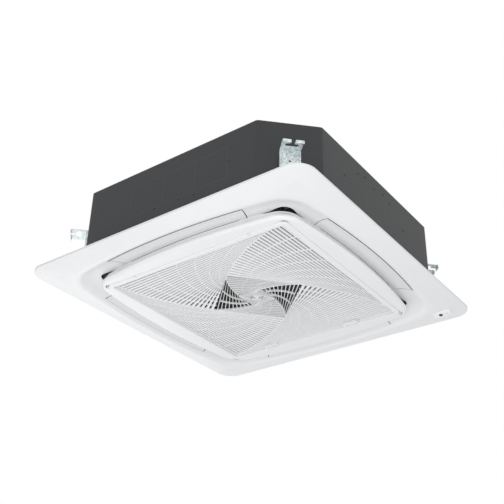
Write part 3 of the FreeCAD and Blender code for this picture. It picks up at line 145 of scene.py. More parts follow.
class Shell:
    """Collects grids, in millimetres, and turns them into one mesh."""

    def __init__(self):
        self.points, self.faces = [], []

    def add(self, grid, faces):
        """Keeps a grid's points and its faces, with the vertex numbers moved past the points so far."""
        start = sum(len(p) for p in self.points)
        self.points.append(np.asarray(grid, float).reshape(-1, 3))
        self.faces += [[i + start for i in face] for face in faces]

    def tube(self, grid, closed_path):
        """A closed cross-section (rows) carried along a path (columns), with flat caps on an open one."""
        rows, cols = grid.shape[:2]
        faces = grid_quads(rows, cols, True, closed_path)
        if not closed_path:
            first = [r * cols for r in range(rows)]
            faces += [first, [i + cols - 1 for i in first[::-1]]]
        self.add(grid, faces)

    def piece(self, name, body, slot, stands_for):
        """The mesh of all grids, faces turned outwards, smooth but for creases, riding on its body."""
        mesh = bpy.data.meshes.new(name)
        mesh.from_pydata((np.concatenate(self.points) * MM).tolist(), [], self.faces)
        mesh.validate()
        obj = bpy.data.objects.new(name, mesh)
        bpy.context.scene.collection.objects.link(obj)
        bpy.context.view_layer.objects.active = obj
        obj.select_set(True)
        bpy.ops.object.mode_set(mode="EDIT")
        bpy.ops.mesh.select_all(action="SELECT")
        bpy.ops.mesh.normals_make_consistent(inside=False)
        bpy.ops.object.mode_set(mode="OBJECT")
        obj.select_set(False)
        mesh.shade_smooth()
        mesh.set_sharp_from_angle(angle=math.radians(CREASE_DEG))
        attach(obj, body)
        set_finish(obj, slot)
        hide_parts(*stands_for)
        print(name, len(mesh.vertices), "points")


def drawn_out(outline, axis, start, end):
    """A flat outline in the other two axes, drawn out along the x, y or z axis from start to end."""
    a, b = [i for i in range(3) if i != axis]
    grid = np.empty((len(outline), 2, 3))
    grid[..., axis] = start, end
    grid[..., a], grid[..., b] = outline[:, :1], outline[:, 1:]
    return grid


def box_grid(x0, x1, y0, y1, z0, z1):
    """A box as a four-point outline drawn out along x."""
    return drawn_out(np.array([(y0, z0), (y1, z0), (y1, z1), (y0, z1)], float), 0, x0, x1)


print("creases from", CREASE_DEG, "degrees")

# %% [markdown]
# The cove is one hollow curve, from the lip at the outside up to its deep end beside the centre block.
# The louvers, the side bands and the corner covers are all cut from that one curve, so they line up, which
# separately drawn pieces would do only by luck. Louver ends and cover seams lie on the same slanted line,
# so each strip of the grid ends where its own outline meets that line.

# %% The shared section of the panel
COVE_IN, COVE_SPAN, COVE_TOP, COVE_DROP, COVE_POWER = 349.0, 73.0, 1.2, 21.2, 2.5
COVE_CORNER = 325.0
CREST_MID = 415.0
LOUVER_OUT, LOUVER_IN, LOUVER_HALF = 407.6, 350.6, 218.0
SLANT = 22.0 / (LOUVER_OUT - LOUVER_IN)
GAP, SEAM = 1.2, 0.05
RUN_STEPS = 12


def cove_height(mid):
    """Height of the cove at an outline: it falls with a power of the way out from the deep end."""
    return COVE_TOP - COVE_DROP * np.clip((mid - COVE_IN) / COVE_SPAN, 0, None) ** COVE_POWER


def slant_end(mid, gap, bowed=True):
    """y where an outline meets the slanted end line, found by stepping back and forth a few times."""
    y = 0.0
    for _ in range(6):
        y = LOUVER_HALF + (float(side_x(mid, np.array(y), bowed)) - LOUVER_IN) * SLANT + gap
    return y


def side_row(mid, z, gap, bowed=True):
    """One strip along the +X side between its two slanted ends."""
    end = slant_end(mid, gap, bowed)
    y = np.linspace(-end, end, SIDE_STEPS)
    return np.stack([side_x(mid, y, bowed), y, z + 0 * y], 1)


def corner_row(mid, corner, z, gap, bowed=True):
    """One strip round the +X +Y corner, from one slanted end to the other."""
    arc = corner_arc(mid, corner, bowed)
    y = np.linspace(slant_end(mid, gap, bowed), arc[0, 1], RUN_STEPS)[:-1]
    run = np.stack([side_x(mid, y, bowed), y], 1)
    path = np.concatenate([run, arc, run[::-1, ::-1]])
    return at_height(path, z)


print("cove heights", cove_height(np.linspace(CREST_MID, COVE_IN, 5)).round(1), "mm")

# %% [markdown]
# The panel frame is the white moulding that carries everything. Its outer band runs from the thin rim against
# the ceiling down to the lip of the cove. A bevelled plate could pass for it from afar, but a real band is a
# closed section, rounded at the rim and at the lip, so that light rolls over both edges.

# %% Outer bands
RIM_HALF, RIM_CORNER, RIM_Z, RIM_ROUND = 475.0, 55.0, -6.6, 1.6
LIP_MID, LIP_Z = 423.0, -20.0
CREST_SHARE = 0.84
BAND_SKIN, BAND_EDGE = 3.0, LOUVER_OUT + 1.0
RETURN_TALL, RETURN_WIDE = 6.5, 2.0
LIP_STEP_IN, LIP_STEP_UP, LIP_OVER = 2.0, 4.5, 1.0


def side_level(mid, corner, z, gap, bowed):
    """A side strip that takes a corner strip's values; the corner radius has no use here."""
    return side_row(mid, z, gap, bowed)


def band_rows(row, gap):
    """Section of the band: back of the rim, round edge, straight face, then a parabola over the lip."""
    rows = [row(RIM_HALF, RIM_CORNER, 0.0, gap, False)]
    for t in np.linspace(0, np.pi / 2, 6):
        inset, z = RIM_ROUND * (1 - math.cos(t)), RIM_Z + RIM_ROUND * (1 - math.sin(t))
        rows.append(row(RIM_HALF - inset, RIM_CORNER - inset, z, gap, False))
    edge = rows[-1]
    crest = row(LIP_MID, LIP_MID - COVE_CORNER, LIP_Z, gap, True)
    cove = row(CREST_MID, CREST_MID - COVE_CORNER, float(cove_height(CREST_MID)), gap, True)
    flat_end = edge + (crest - edge) * CREST_SHARE
    rows += [edge + (flat_end - edge) * t for t in np.linspace(0, 1, 9)[1:]]
    start = rows[-1]
    for t in np.linspace(0, 1, 10)[1:]:
        rows.append((1 - t) ** 2 * start + 2 * t * (1 - t) * crest + t ** 2 * cove)
    return rows


def band_back(row, gap, face):
    """The face rows closed by the band's back: from the lip to the rim, a skin's thickness above the face."""
    lip_mid, rim_half, rim_corner = LIP_MID + LIP_OVER, RIM_HALF - BAND_SKIN, RIM_CORNER - BAND_SKIN
    lip = row(lip_mid, lip_mid - COVE_CORNER, LIP_Z + BAND_SKIN, gap, True)
    rim = row(rim_half, rim_corner, RIM_Z + BAND_SKIN, gap, False)
    top = row(rim_half, rim_corner, 0.0, gap, False)
    return face + [lip, rim, top]


def side_band(turn):
    """One side's band: the shared section, the cove to the louver's edge, and a wall turned up there."""
    gap = GAP - SEAM
    rows = band_rows(side_level, gap)
    rows += [side_row(m, float(cove_height(m)), gap) for m in np.linspace(CREST_MID, BAND_EDGE, 5)[1:]]
    top = float(cove_height(BAND_EDGE)) + RETURN_TALL
    wall = (BAND_EDGE, top), (BAND_EDGE + RETURN_WIDE, top), (LIP_MID - LIP_STEP_IN, LIP_Z + LIP_STEP_UP)
    rows += [side_row(mid, z, gap) for mid, z in wall]
    return quarter_turn(np.array(band_back(side_level, gap, rows)), turn)


panel = Shell()
for turn in range(4):
    panel.tube(side_band(turn), False)
print("band sections of", len(side_band(0)), "points")

# %% [markdown]
# The centre block stands proud of the cove. Its rim has a flat face, a fat rounded edge and a wall that draws
# in behind it. At the four corners the wall stops short of the cove and leaves a dark crescent. A boolean cut
# would leave a hard edge there, so the rim is made in three versions that fade into each other along the way.

# %% Centre block
SEAT, SEAT_CORNER, SEAT_TOP = 314.6, 13.8, -12.0
SEAT_LAND, SEAT_SKIN, SEAT_EASE = 4.0, 3.0, 0.6
BLOCK_CORNER, BLOCK_FACE, BLOCK_BACK = 293.0, -30.0, -27.0
EDGE_LAND, EDGE_MID, EDGE_WIDE, EDGE_TALL = 348.0, 350.0, 12.0, 6.5
EDGE_Z = BLOCK_FACE + EDGE_TALL
WALL_PULL, WALL_SKIN, KNEE_Z = 1.0, 1.5, -8.0
WALL_BACK = (352.0, -20.0), (345.0, BLOCK_BACK)
BESIDE_LOUVER, AT_COVER, AT_CRESCENT = (350.0, 0.4), (350.3, 1.6), (352.2, -3.4)
CRESCENT_FADE, LOUVER_FADE = (1.5, 4.0), (11.6, 0.8)


def ring(levels):
    """A closed moulding from a list of (mid, corner, z, bowed) outlines."""
    return np.array([at_height(closed_outline(mid, corner, bowed), z) for mid, corner, z, bowed in levels])


def block_levels(top_mid, top_z):
    """Section of the rim: seat wall, face, elliptic edge, parabolic undercut, wall and its back."""
    seat = [(0, SEAT_TOP), (0, BLOCK_FACE + SEAT_EASE), (SEAT_EASE, BLOCK_FACE), (SEAT_LAND, BLOCK_FACE)]
    levels = [(SEAT + out, SEAT_CORNER + out, z, False) for out, z in seat]
    t = np.linspace(0, np.pi / 2, 10)
    wall = [(EDGE_LAND, BLOCK_FACE)]
    wall += zip(EDGE_MID + EDGE_WIDE * np.sin(t), EDGE_Z - EDGE_TALL * np.cos(t))
    t = np.linspace(0.1, 1, 9)
    widest = EDGE_MID + EDGE_WIDE
    undercut = (1 - t) ** 2 * widest + 2 * t * (1 - t) * (widest - WALL_PULL) + t ** 2 * top_mid
    wall += zip(undercut, EDGE_Z + (KNEE_Z - EDGE_Z) * t)
    wall += [(top_mid, top_z), (top_mid - WALL_SKIN, top_z), *WALL_BACK]
    levels += [(mid, mid - BLOCK_CORNER, z, True) for mid, z in wall]
    return levels + [(SEAT + SEAT_SKIN, SEAT_CORNER + SEAT_SKIN, z, False) for z in (BLOCK_BACK, SEAT_TOP)]


def block_rim():
    """Three rims mixed by the angle off the corner: at a crescent, at a cover, beside a louver."""
    beside, cover, crescent = [ring(block_levels(*top)) for top in (BESIDE_LOUVER, AT_COVER, AT_CRESCENT)]
    off_corner = np.abs(np.degrees(np.arctan2(cover[0, :, 1], cover[0, :, 0])) % 90 - 45)

    def share(start, fade):
        """0 up to the start and 1 after the fade, smooth between."""
        t = np.clip((off_corner - start) / fade, 0, 1)
        return (t * t * (3 - 2 * t))[None, :, None]

    rim = crescent + (cover - crescent) * share(*CRESCENT_FADE)
    return rim + (beside - cover) * share(*LOUVER_FADE)


panel.tube(block_rim(), True)
print("block rim of", len(block_levels(*AT_COVER)), "outlines")

# %% [markdown]
# Two lugs under the front of the block hold the pins on which the grille hangs. Boxes would do for the photo,
# but an open grille shows them. So each is a round-ended plate with a bridge that joins it to the seat wall.

# %% Hinge lugs
HINGE_X, HINGE_Y, HINGE_Z = 200.0, -310.8, -29.0
LUG_R, LUG_TALL, LUG_HALF = 2.4, 17.0, 5.0
BRIDGE_Y, BRIDGE_Z0, BRIDGE_Z1 = -316.0, -15.0, -12.0


def hinge_lugs(shell):
    """A half circle about the pin with straight sides above it, drawn out along x, and its bridge."""
    t = np.linspace(np.pi, 2 * np.pi, 14)
    outline = np.concatenate([LUG_R * ray(t), [[LUG_R, LUG_TALL], [-LUG_R, LUG_TALL]]])
    for x in (-HINGE_X, HINGE_X):
        ends = x - LUG_HALF, x + LUG_HALF
        shell.tube(drawn_out(outline + (HINGE_Y, HINGE_Z), 0, *ends), False)
        shell.tube(box_grid(*ends, BRIDGE_Y, HINGE_Y + LUG_R, BRIDGE_Z0, BRIDGE_Z1), False)


hinge_lugs(panel)
panel.piece("panel_frame_moulding", "unit", "panel_white", ["panel_frame"])

# %% [markdown]
# Behind the white trim lies a dark carrier that bears the louvers. Only slivers of it show, through the
# crescents and past an open louver. A full moulding would be lost there, so it is a frame of plain bars, with
# a skirt round the outside, a throat round the block and round bosses for the louver pins.

# %% Carrier behind the trim
PIVOT_H, PIVOT_Z, BOSS_R, ROD_STEPS = 357.0, 8.0, 4.0, 20
CARRIER_Z0, CARRIER_Z1 = 8.2, 11.0
LONG_BARS = (404.5, 425.0, -246.0, 246.0), (303.0, 333.0, -303.0, 303.0)
CORNER_BARS = (378.0, 404.5, 247.0, 395.0), (320.0, 404.5, 320.0, 395.0)
BOSS_BAR_IN, BOSS_BAR_OUT, BOSS_Y0, BOSS_Y1 = 353.0, 404.5, 209.0, 219.0
SKIRT = (428.5, 103.5, 8.2), (428.5, 103.5, -11.5), (425.5, 100.5, -11.5), (425.5, 100.5, 8.2)
THROAT = ((349.5, 56.5, -6.2), (345.5, 52.5, 1.0), (345.5, 52.5, 8.1),
          (341.5, 48.5, 8.1), (341.5, 48.5, 1.0), (347.5, 54.5, -6.2))


def pivot_rod(y0, y1, radius):
    """A round bar on a louver's pivot line: a circle drawn out along y."""
    t = np.linspace(0, 2 * np.pi, ROD_STEPS, endpoint=False)
    return drawn_out((PIVOT_H, PIVOT_Z) + radius * ray(t), 1, y0, y1)


def carrier_quarter(shell, turn):
    """A quarter of the carrier: long bars, a short bar with a boss at each louver end, and corner bars."""
    grids = [box_grid(*bar, CARRIER_Z0, CARRIER_Z1) for bar in LONG_BARS]
    for side in (-1, 1):
        y0, y1 = sorted((side * BOSS_Y0, side * BOSS_Y1))
        grids.append(box_grid(BOSS_BAR_IN, BOSS_BAR_OUT, y0, y1, CARRIER_Z0, CARRIER_Z1))
        grids.append(pivot_rod(y0, y1, BOSS_R))
    grids += [box_grid(*bar, CARRIER_Z0, CARRIER_Z1) for bar in CORNER_BARS]
    for grid in grids:
        shell.tube(quarter_turn(grid, turn), False)


carrier = Shell()
for section in (SKIRT, THROAT):
    carrier.tube(ring([(*level, True) for level in section]), True)
for turn in range(4):
    carrier_quarter(carrier, turn)
carrier.piece("panel_carrier", "unit", "duct_black", ["panel_frame"])

# %% [markdown]
# A corner cover closes each corner between two louvers, and comes off to reach a fixing screw. It carries on
# the band and the cove, and its inner edge is bitten back in the middle, which opens the dark crescent beside
# the block. The bite shifts the strips of the grid, more towards that edge, so no cut is needed.

# %% Corner covers
COVE_SKIN, COVE_STEPS = 2.5, 24
CRESCENT_BITE, CRESCENT_END = 10.0, 5.0
TURNS = (-1, 0, 1, 2)
CORNER_NAMES = ("front_right", "back_right", "back_left", "front_left")


def corner_cover(turn):
    """The band's section round a corner, then the cove; the bite falls off with the square of the angle."""
    gap = GAP + SEAM
    rows = band_rows(corner_row, gap)
    crest = rows[-1]
    deep = corner_row(COVE_IN, COVE_IN - COVE_CORNER, COVE_TOP, gap)
    angle = np.degrees(np.arctan2(deep[:, 1], deep[:, 0])) - 45
    bite = CRESCENT_BITE * np.clip(1 - (angle / CRESCENT_END) ** 2, 0, 1)
    for t in np.linspace(0, 1, COVE_STEPS)[1:]:
        mid = CREST_MID + (COVE_IN + bite - CREST_MID) * t
        flat = crest + (deep - crest) * ((CREST_MID - mid) / (CREST_MID - COVE_IN))[:, None]
        rows.append(at_height(flat[:, :2], cove_height(mid)))
    back = [row + (0, 0, COVE_SKIN) for row in rows[:-COVE_STEPS:-4]]
    return quarter_turn(np.array(band_back(corner_row, gap, rows + back)), turn)


for turn, name in zip(TURNS, CORNER_NAMES):
    cover = Shell()
    cover.tube(corner_cover(turn), False)
    cover.piece("corner_cover_" + name, "unit", "panel_white", ["corner_" + name])

# %% [markdown]
# A louver is a thin leaf with the cove's own hollow face. Two ears on its back carry the pivot pins. When it
# opens, its outer edge swings down and the air leaves along its hollow side. The leaf takes its heights from
# the cove's law, and its outer edge turns down a little, which shows the thin dark line of the joint.

# %% Louvers
SIDE_NAMES = ("front", "right", "back", "left")
LEAF_EDGE, LEAF_TRIM, LEAF_BACK = LOUVER_OUT - 0.8, 2.0, 6.0
TURN_WIDE, TURN_DROP = 8.0, 1.5
EAR_R, EAR_IN, EAR_OUT = 5.0, 201.0, 205.0
EAR_FOOT = (352.0, 2.4), (376.0, 2.0)
PIN_R, PIN_END = 2.0, 226.0


def louver_leaf():
    """Closed section of the leaf: the cove's curve with its outer edge turned down a little, and its back."""
    inner = LEAF_EDGE - TURN_WIDE
    face = np.concatenate([np.linspace(LEAF_EDGE, inner, 8), np.linspace(inner, LOUVER_IN, 24)[1:]])
    drop = TURN_DROP * np.clip((face - LEAF_EDGE) / TURN_WIDE + 1, 0, 1) ** 2
    back = np.linspace(LOUVER_IN, LEAF_EDGE - LEAF_BACK, 30)
    mids = np.concatenate([face, back])
    heights = cove_height(mids) + np.concatenate([-drop, np.full(len(back), COVE_SKIN)])
    return np.array([side_row(m, z, -LEAF_TRIM) for m, z in zip(mids, heights)])


def louver_ears(shell, turn):
    """Two plates with a half round about the pivot, each with a pin that points outwards."""
    t = np.linspace(0, np.pi, 12)
    outline = np.concatenate([(PIVOT_H, PIVOT_Z) + EAR_R * ray(t), EAR_FOOT])
    for side in (-1, 1):
        ear = drawn_out(outline, 1, side * EAR_IN, side * EAR_OUT)
        pin = pivot_rod(side * EAR_OUT, side * PIN_END, PIN_R)
        for grid in (ear, pin):
            shell.tube(quarter_turn(grid, turn), False)


for turn, name in zip(TURNS, SIDE_NAMES):
    louver = Shell()
    louver.tube(quarter_turn(louver_leaf(), turn), False)
    louver_ears(louver, turn)
    louver.piece("louver_leaf_" + name, "louver_" + name, "panel_white", ["louver_" + name])

# %% [markdown]
# The grille is the showpiece. Four spirals run from its corners towards the middle and end on the corners of
# a smaller square, turned by 45 degrees, in which the same figure starts again. Each fin is a straight bar
# from one spiral to the next. Its far end runs ahead, so the fins turn as they go in, and their far ends crowd
# where the spiral ends. No two fins are alike, so an array won't do, but one law gives every point at once.

# %% Law of the whirl
MESH_HALF = 298.0
APEX, CURL = 0.5, 0.33
RUN_AHEAD = 1.85
LEVEL_SCALE, LEVEL_TURN = APEX / math.sqrt(2), -45


def whirl_corner(share):
    """Point of a spiral: x falls evenly from the rim to the axis, and y follows a parabola of x."""
    x = MESH_HALF * (1 - share)
    return np.stack([x, -(MESH_HALF * APEX + (1 - APEX + CURL) * x - CURL * x * x / MESH_HALF)], -1)


def whirl_point(level, share, along):
    """Point along a fin from one spiral to the next: the way left at its end is a power of the way left
    at its start. Each level in is smaller by a fixed ratio and turned by a fixed angle."""
    left = np.clip(1 - np.asarray(share, float), 0, 1)
    start, end = whirl_corner(1 - left)[..., ::-1] * (1, -1), whirl_corner(1 - left ** RUN_AHEAD)
    along = np.asarray(along, float)[..., None]
    x, y = np.moveaxis((start + along * (end - start)) * LEVEL_SCALE ** level, -1, 0)
    a = math.radians(LEVEL_TURN * level)
    c, s = math.cos(a), math.sin(a)
    return np.stack([x * c - y * s, x * s + y * c], -1)


def fin_pitch(level, share, step, along):
    """Distance from a fin to the next one, square to the fin, at points along it."""
    here, there = whirl_point(level, share, along), whirl_point(level, share + step, along)
    ahead, away = here[-1] - here[0], there - here
    return np.abs(ahead[0] * away[:, 1] - ahead[1] * away[:, 0]) / np.linalg.norm(ahead)


print("inner square's corner at", whirl_corner(np.array(1.0)).round(1), "mm")

# %% [markdown]
# A moulded fin is widest where the fins stand far apart, and its lower edge is eased. So each bar takes its
# width from the pitch along its length. The spirals themselves are a bar too, and so are the thin ribs
# that tie the fins together. Each kind ends at its own height by a hair, so that no two faces coincide.

# %% Bars of the whirl
MESH_FACE, MESH_TOPS = -22.0, (-17.4, -16.0, -15.5, -15.0)
FINS = (24, 9, 5, 3)
RIB_PLACES = np.linspace(0, 0.8, 7)[1:], (0.3, 0.6), (), ()
FACE_SHARES, BACK_SHARES = (0.26, 0.095, 0.18, 0.2), (0.3, 0.095, 0.18, 0.2)
THINNEST = 0.45
ARM_HALVES, RIB_HALVES = (1.5, 1.2, 1.0, 1.0), (1.1, 0.8)
EASE_IN, EASE_UP = 0.4, 0.6
FIN_HAIR, ARM_HAIR, RIB_HAIR = 0.05, (0.15, 0.1), (0.1, 0.2)
FIN_ALONG = np.linspace(0, 1, 9)


def bar_along(shell, path, half, back, face, top):
    """A bar with an eased lower edge, a half width at the face and another at the back, along a path."""
    ahead = np.gradient(path, axis=0)
    ahead /= np.linalg.norm(ahead, axis=1, keepdims=True)
    side = np.stack([-ahead[:, 1], ahead[:, 0]], 1)
    half, back = half + np.zeros(len(path)), back + np.zeros(len(path))
    section = ((-back, top), (-half, face + EASE_UP), (EASE_IN - half, face),
               (half - EASE_IN, face), (half, face + EASE_UP), (back, top))
    rows = [at_height(path + s[:, None] * side, z) for s, z in section]
    for turn in range(4):
        shell.tube(quarter_turn(np.array(rows), turn), False)


def line_across(shell, level, place, half, hair):
    """A bar through the same place on every fin of a level: a spiral for place 0, or a rib."""
    shares = np.linspace(0, 1, 2 * FINS[level] + 1)[:-1]
    path = whirl_point(level, shares, np.full(len(shares), place))
    bar_along(shell, path, half, half, MESH_FACE - hair[0], MESH_TOPS[level] - hair[1])


grille = Shell()
for level, fins in enumerate(FINS):
    for fin in range(fins):
        share = np.full(len(FIN_ALONG), fin / fins)
        pitch = fin_pitch(level, share, 1 / fins, FIN_ALONG)
        half = np.maximum(FACE_SHARES[level] * pitch, THINNEST)
        back = np.maximum(BACK_SHARES[level] * pitch, half)
        top = MESH_TOPS[level] - FIN_HAIR * (fin % 2)
        bar_along(grille, whirl_point(level, share, FIN_ALONG), half, back, MESH_FACE, top)
    line_across(grille, level, 0.0, ARM_HALVES[level], ARM_HAIR)
    for place in RIB_PLACES[level]:
        line_across(grille, level, place, RIB_HALVES[level], RIB_HAIR)
hub = whirl_corner(np.array(0.0)) * LEVEL_SCALE ** len(FINS)
grille.tube(box_grid(hub[1], hub[0], hub[1], hub[0], MESH_FACE, MESH_TOPS[-1]), False)
print(4 * sum(FINS), "fins")

# %% [markdown]
# The grille's border is a flat moulding with rounded edges. Its section changes where the hinge lugs and
# the two latches sit. Cutting those places out with booleans would spoil the shading, so the border is a few
# lengths laid end to end round the square, each with its own section.

# %% Grille border
BORDER_OUT, BORDER_IN, BORDER_CORNER = 314.2, 298.0, 22.0
BORDER_FACE, BORDER_BACK = -32.0, -20.0
OUTER_ROUND, INNER_ROUND, TIGHTEST = 3.0, 1.5, 2.0
NOTCH_IN, NOTCH_HALF = 307.9, 5.3
LATCH_X, LATCH_HALF = 150.0, 19.5
POCKET_IN, POCKET_OUT, POCKET_Z = 289.5, 308.5, BORDER_FACE + 3.5
TAB_HALF, TAB_IN = 25.0, 284.0
LEDGE_IN, LEDGE_OUT, LEDGE_Z = MESH_HALF - 0.6, MESH_HALF + 3.0, -21.0


def rounded_edge(half, direction, radius):
    """Quarter round on a lower edge: outwards for direction 1, inwards for -1."""
    t = np.linspace(0, np.pi / 2, 6)
    out, up = direction * radius * (1 - np.cos(t)), radius * (1 - np.sin(t))
    return np.stack([half - out, BORDER_FACE + up], 1)


def border_section(kind):
    """(half, z) points of the section: plain, hinge notch, wide latch tab, or the pocket in the tab."""
    start = NOTCH_IN if kind == "notch" else BORDER_OUT
    end = TAB_IN if kind in ("tab", "pocket") else BORDER_IN
    outer = [(NOTCH_IN, BORDER_FACE)] if kind == "notch" else rounded_edge(BORDER_OUT, 1, OUTER_ROUND)
    if kind == "pocket":
        step = ((POCKET_OUT, BORDER_FACE), (POCKET_OUT, POCKET_Z),
                (POCKET_IN, POCKET_Z), (POCKET_IN, BORDER_FACE))
        outer = np.concatenate([outer, step])
    inner = rounded_edge(end, -1, INNER_ROUND)[::-1]
    return np.concatenate([[(start, BORDER_BACK)], outer, inner, [(end, BORDER_BACK)]])


def straight_length(shell, kind, ends, sign):
    """A length of border between two x values along the front (sign -1) or the back (sign 1)."""
    shell.tube(drawn_out(border_section(kind) * (sign, 1), 0, *sorted(ends)), False)


def side_length(shell, x_front, x_back, sign):
    """The border round one side: from the front, round both corners, to the back."""
    rows = []
    for half, z in border_section("plain"):
        arc = corner_arc(half, max(BORDER_CORNER + half - BORDER_OUT, TIGHTEST), False)
        front = arc[::-1] * (1, -1)
        path = np.concatenate([[[x_front, -half]], front, arc, [[x_back, half]]])
        rows.append(at_height(path * (sign, 1), z))
    shell.tube(np.array(rows), False)


latch_ends = [LATCH_X + step for step in (-TAB_HALF, -LATCH_HALF, LATCH_HALF, TAB_HALF)]
for sign in (-1, 1):
    side_length(grille, HINGE_X + NOTCH_HALF, LATCH_X + TAB_HALF, sign)
    straight_length(grille, "notch", (sign * (HINGE_X - NOTCH_HALF), sign * (HINGE_X + NOTCH_HALF)), -1)
    for kind, a, b in zip(("tab", "pocket", "tab"), latch_ends, latch_ends[1:]):
        straight_length(grille, kind, (sign * a, sign * b), 1)
straight_length(grille, "plain", (NOTCH_HALF - HINGE_X, HINGE_X - NOTCH_HALF), -1)
straight_length(grille, "plain", (TAB_HALF - LATCH_X, LATCH_X - TAB_HALF), 1)
for turn in range(4):
    ledge = box_grid(LEDGE_IN, LEDGE_OUT, -MESH_HALF, MESH_HALF, LEDGE_Z, MESH_TOPS[0])
    grille.tube(quarter_turn(ledge, turn), False)
grille.piece("intake_grille_whirl", "grille", "grille_white", ["intake_grille"])

# %% [markdown]
# The casing is one folded sheet with eight sides and a flange turned in at the bottom. A cube with a bevel
# would give the outline, but a fold in sheet metal has a small radius of its own and an inside. So the sheet
# is a closed section carried round an eight-sided path whose bends are eased.

# %% Casing
BODY_HALF, BODY_CUT, BODY_Z0, BODY_Z1 = 420.0, 122.0, 14.0, 228.8
BEND, SHEET = 14.0, 1.2
FLANGE, FLANGE_BEND = 12.0, 1.0


def octagon_path(half, cut, bend):
    """Eight-sided outline: each bend a parabola between two tangent points, each side cut into short steps."""
    flat = half - cut
    pair = np.array([(half, -flat), (half, flat)], float)
    corners = np.concatenate([quarter_turn(pair, k) for k in range(4)])
    before, after = np.roll(corners, 1, 0) - corners, np.roll(corners, -1, 0) - corners
    before /= np.linalg.norm(before, axis=1, keepdims=True)
    after /= np.linalg.norm(after, axis=1, keepdims=True)
    reach = bend * math.tan(math.radians(22.5))
    t = np.linspace(0, 1, 7)[:, None, None]
    a, b = corners + before * reach, corners + after * reach
    arc = (1 - t) ** 2 * a + 2 * t * (1 - t) * corners + t ** 2 * b
    side = b + np.linspace(0, 1, 14)[1:-1, None, None] * (np.roll(a, -1, 0) - b)
    return np.concatenate([arc, side]).transpose(1, 0, 2).reshape(-1, 2)


def casing_ring(inset, z, bend):
    """The casing's outline moved inwards by an equal distance on all eight sides."""
    path = octagon_path(BODY_HALF - inset, BODY_CUT - inset * (2 - math.sqrt(2)), bend)
    return at_height(path, z)


casing_section = ((0, BODY_Z0, BEND), (0, BODY_Z1, BEND),
                  (SHEET, BODY_Z1, BEND - SHEET), (SHEET, BODY_Z0 + SHEET, BEND - SHEET),
                  (FLANGE, BODY_Z0 + SHEET, FLANGE_BEND), (FLANGE, BODY_Z0, FLANGE_BEND))
casing = Shell()
casing.tube(np.array([casing_ring(*level) for level in casing_section]), True)
casing.piece("folded_casing", "unit", "casing_grey", ["side_casing"])

# %% [markdown]
# Small painted screw heads dot the two sides that are in view. As flat dots in a material they would vanish
# from the side, so each is a low dome: rings of falling radius, set a little into the sheet.

# %% Screw heads
FRONT_SCREWS = ((209, 136), (42, 80), (96, 74), (-45, 81))
RIGHT_SCREWS = ((-185, 142), (-112, 191), (-73, 202), (-23, 190), (28, 199), (66, 191), (145, 138))
HEAD_PROFILE = np.array([(3.6, -0.6), (3.6, 0.5), (3.0, 1.1), (1.6, 1.5), (0.2, 1.6)])
HEAD_STEPS = 14


def screw_heads(shell, spots, turn):
    """Domes on the side that faces +X before it is turned, from (radius, height) points of a profile."""
    t = np.linspace(0, 2 * np.pi, HEAD_STEPS, endpoint=False)
    radius, height = HEAD_PROFILE[:, :1], HEAD_PROFILE[:, 1:]
    for along, z in spots:
        rings = np.stack([BODY_HALF + height + 0 * t, along + radius * np.cos(t), z + radius * np.sin(t)], -1)
        shell.add(quarter_turn(rings, turn), grid_quads(*rings.shape[:2], False, True))


heads = Shell()
screw_heads(heads, FRONT_SCREWS, -1)
screw_heads(heads, RIGHT_SCREWS, 0)
heads.piece("casing_screw_heads", "unit", "casing_grey", ["side_casing"])

# %% [markdown]
# The lid is a pressed sheet with a shallow raised dish that stiffens it over the fan motor. Inset and extrude
# could press it from a flat face. Here its rows start on the eight-sided outline and go over to circles, point
# by point at the same angle, so the sheet is one grid with a thickness.

# %% Lid
LID_TOP, LID_LAND = 230.0, 3.0
DISH_FACE = (257, 230.0), (254, 230.4), (245, 233.4), (241, 234.0), (120, 234.0), (0.5, 234.0)
DISH_BACK = (0.5, 232.8), (240, 232.8), (253, 228.9)
lid_outline = octagon_path(BODY_HALF, BODY_CUT, BEND)
lid_angle = np.arctan2(lid_outline[:, 1], lid_outline[:, 0])
dish = [at_height(radius * ray(lid_angle), z) for radius, z in (*DISH_FACE, *DISH_BACK)]
lid_edge = [casing_ring(inset, z, BEND) for inset, z in ((0, BODY_Z1), (0, LID_TOP), (LID_LAND, LID_TOP))]
lid = Shell()
lid.tube(np.array([*lid_edge, *dish, casing_ring(SHEET, BODY_Z1, BEND - SHEET)]), True)
lid.piece("pressed_lid", "unit", "casing_grey", ["top_plate"])

# %% [markdown]
# The remote signal comes in through a small dark dome beside the lamp window, on one corner cover. Seen from
# below at a slant, a dome still looks round, where a flat disc would shrink to a line. It is made of rings of
# falling radius like the screw heads, on a short neck that sinks into the housing.

# %% Signal dome
LENS_X, LENS_Y, LENS_FACE, LENS_R = 396.0, 411.0, -17.5, 6.0
LENS_NECK, LENS_BULGE, LENS_TIP = 6.0, 4.2, 0.05
turn = np.linspace(0, 2 * np.pi, 32, endpoint=False)
lift = np.linspace(0, np.pi / 2, 9)
radius = np.concatenate([[LENS_R], LENS_R * np.cos(lift[:-1]), [LENS_TIP]])[:, None]
depth = np.concatenate([[LENS_FACE + LENS_NECK], LENS_FACE - LENS_BULGE * np.sin(lift)])[:, None]
rings = np.stack([LENS_X + radius * np.cos(turn), LENS_Y + radius * np.sin(turn), depth + 0 * turn], -1)
dome = Shell()
dome.add(rings, grid_quads(*rings.shape[:2], False, True))
dome.piece("signal_dome", "unit", "lens_black", ["infrared_lens"])

# %% [markdown]
# The finishes are node trees on Object coordinates, so a grain keeps its real size on every piece. Nodes could
# be linked by hand, but shader maths reads best as plain expressions. A small class wraps a socket so that
# sums and products of sockets add Math nodes.

# %% Sockets as numbers

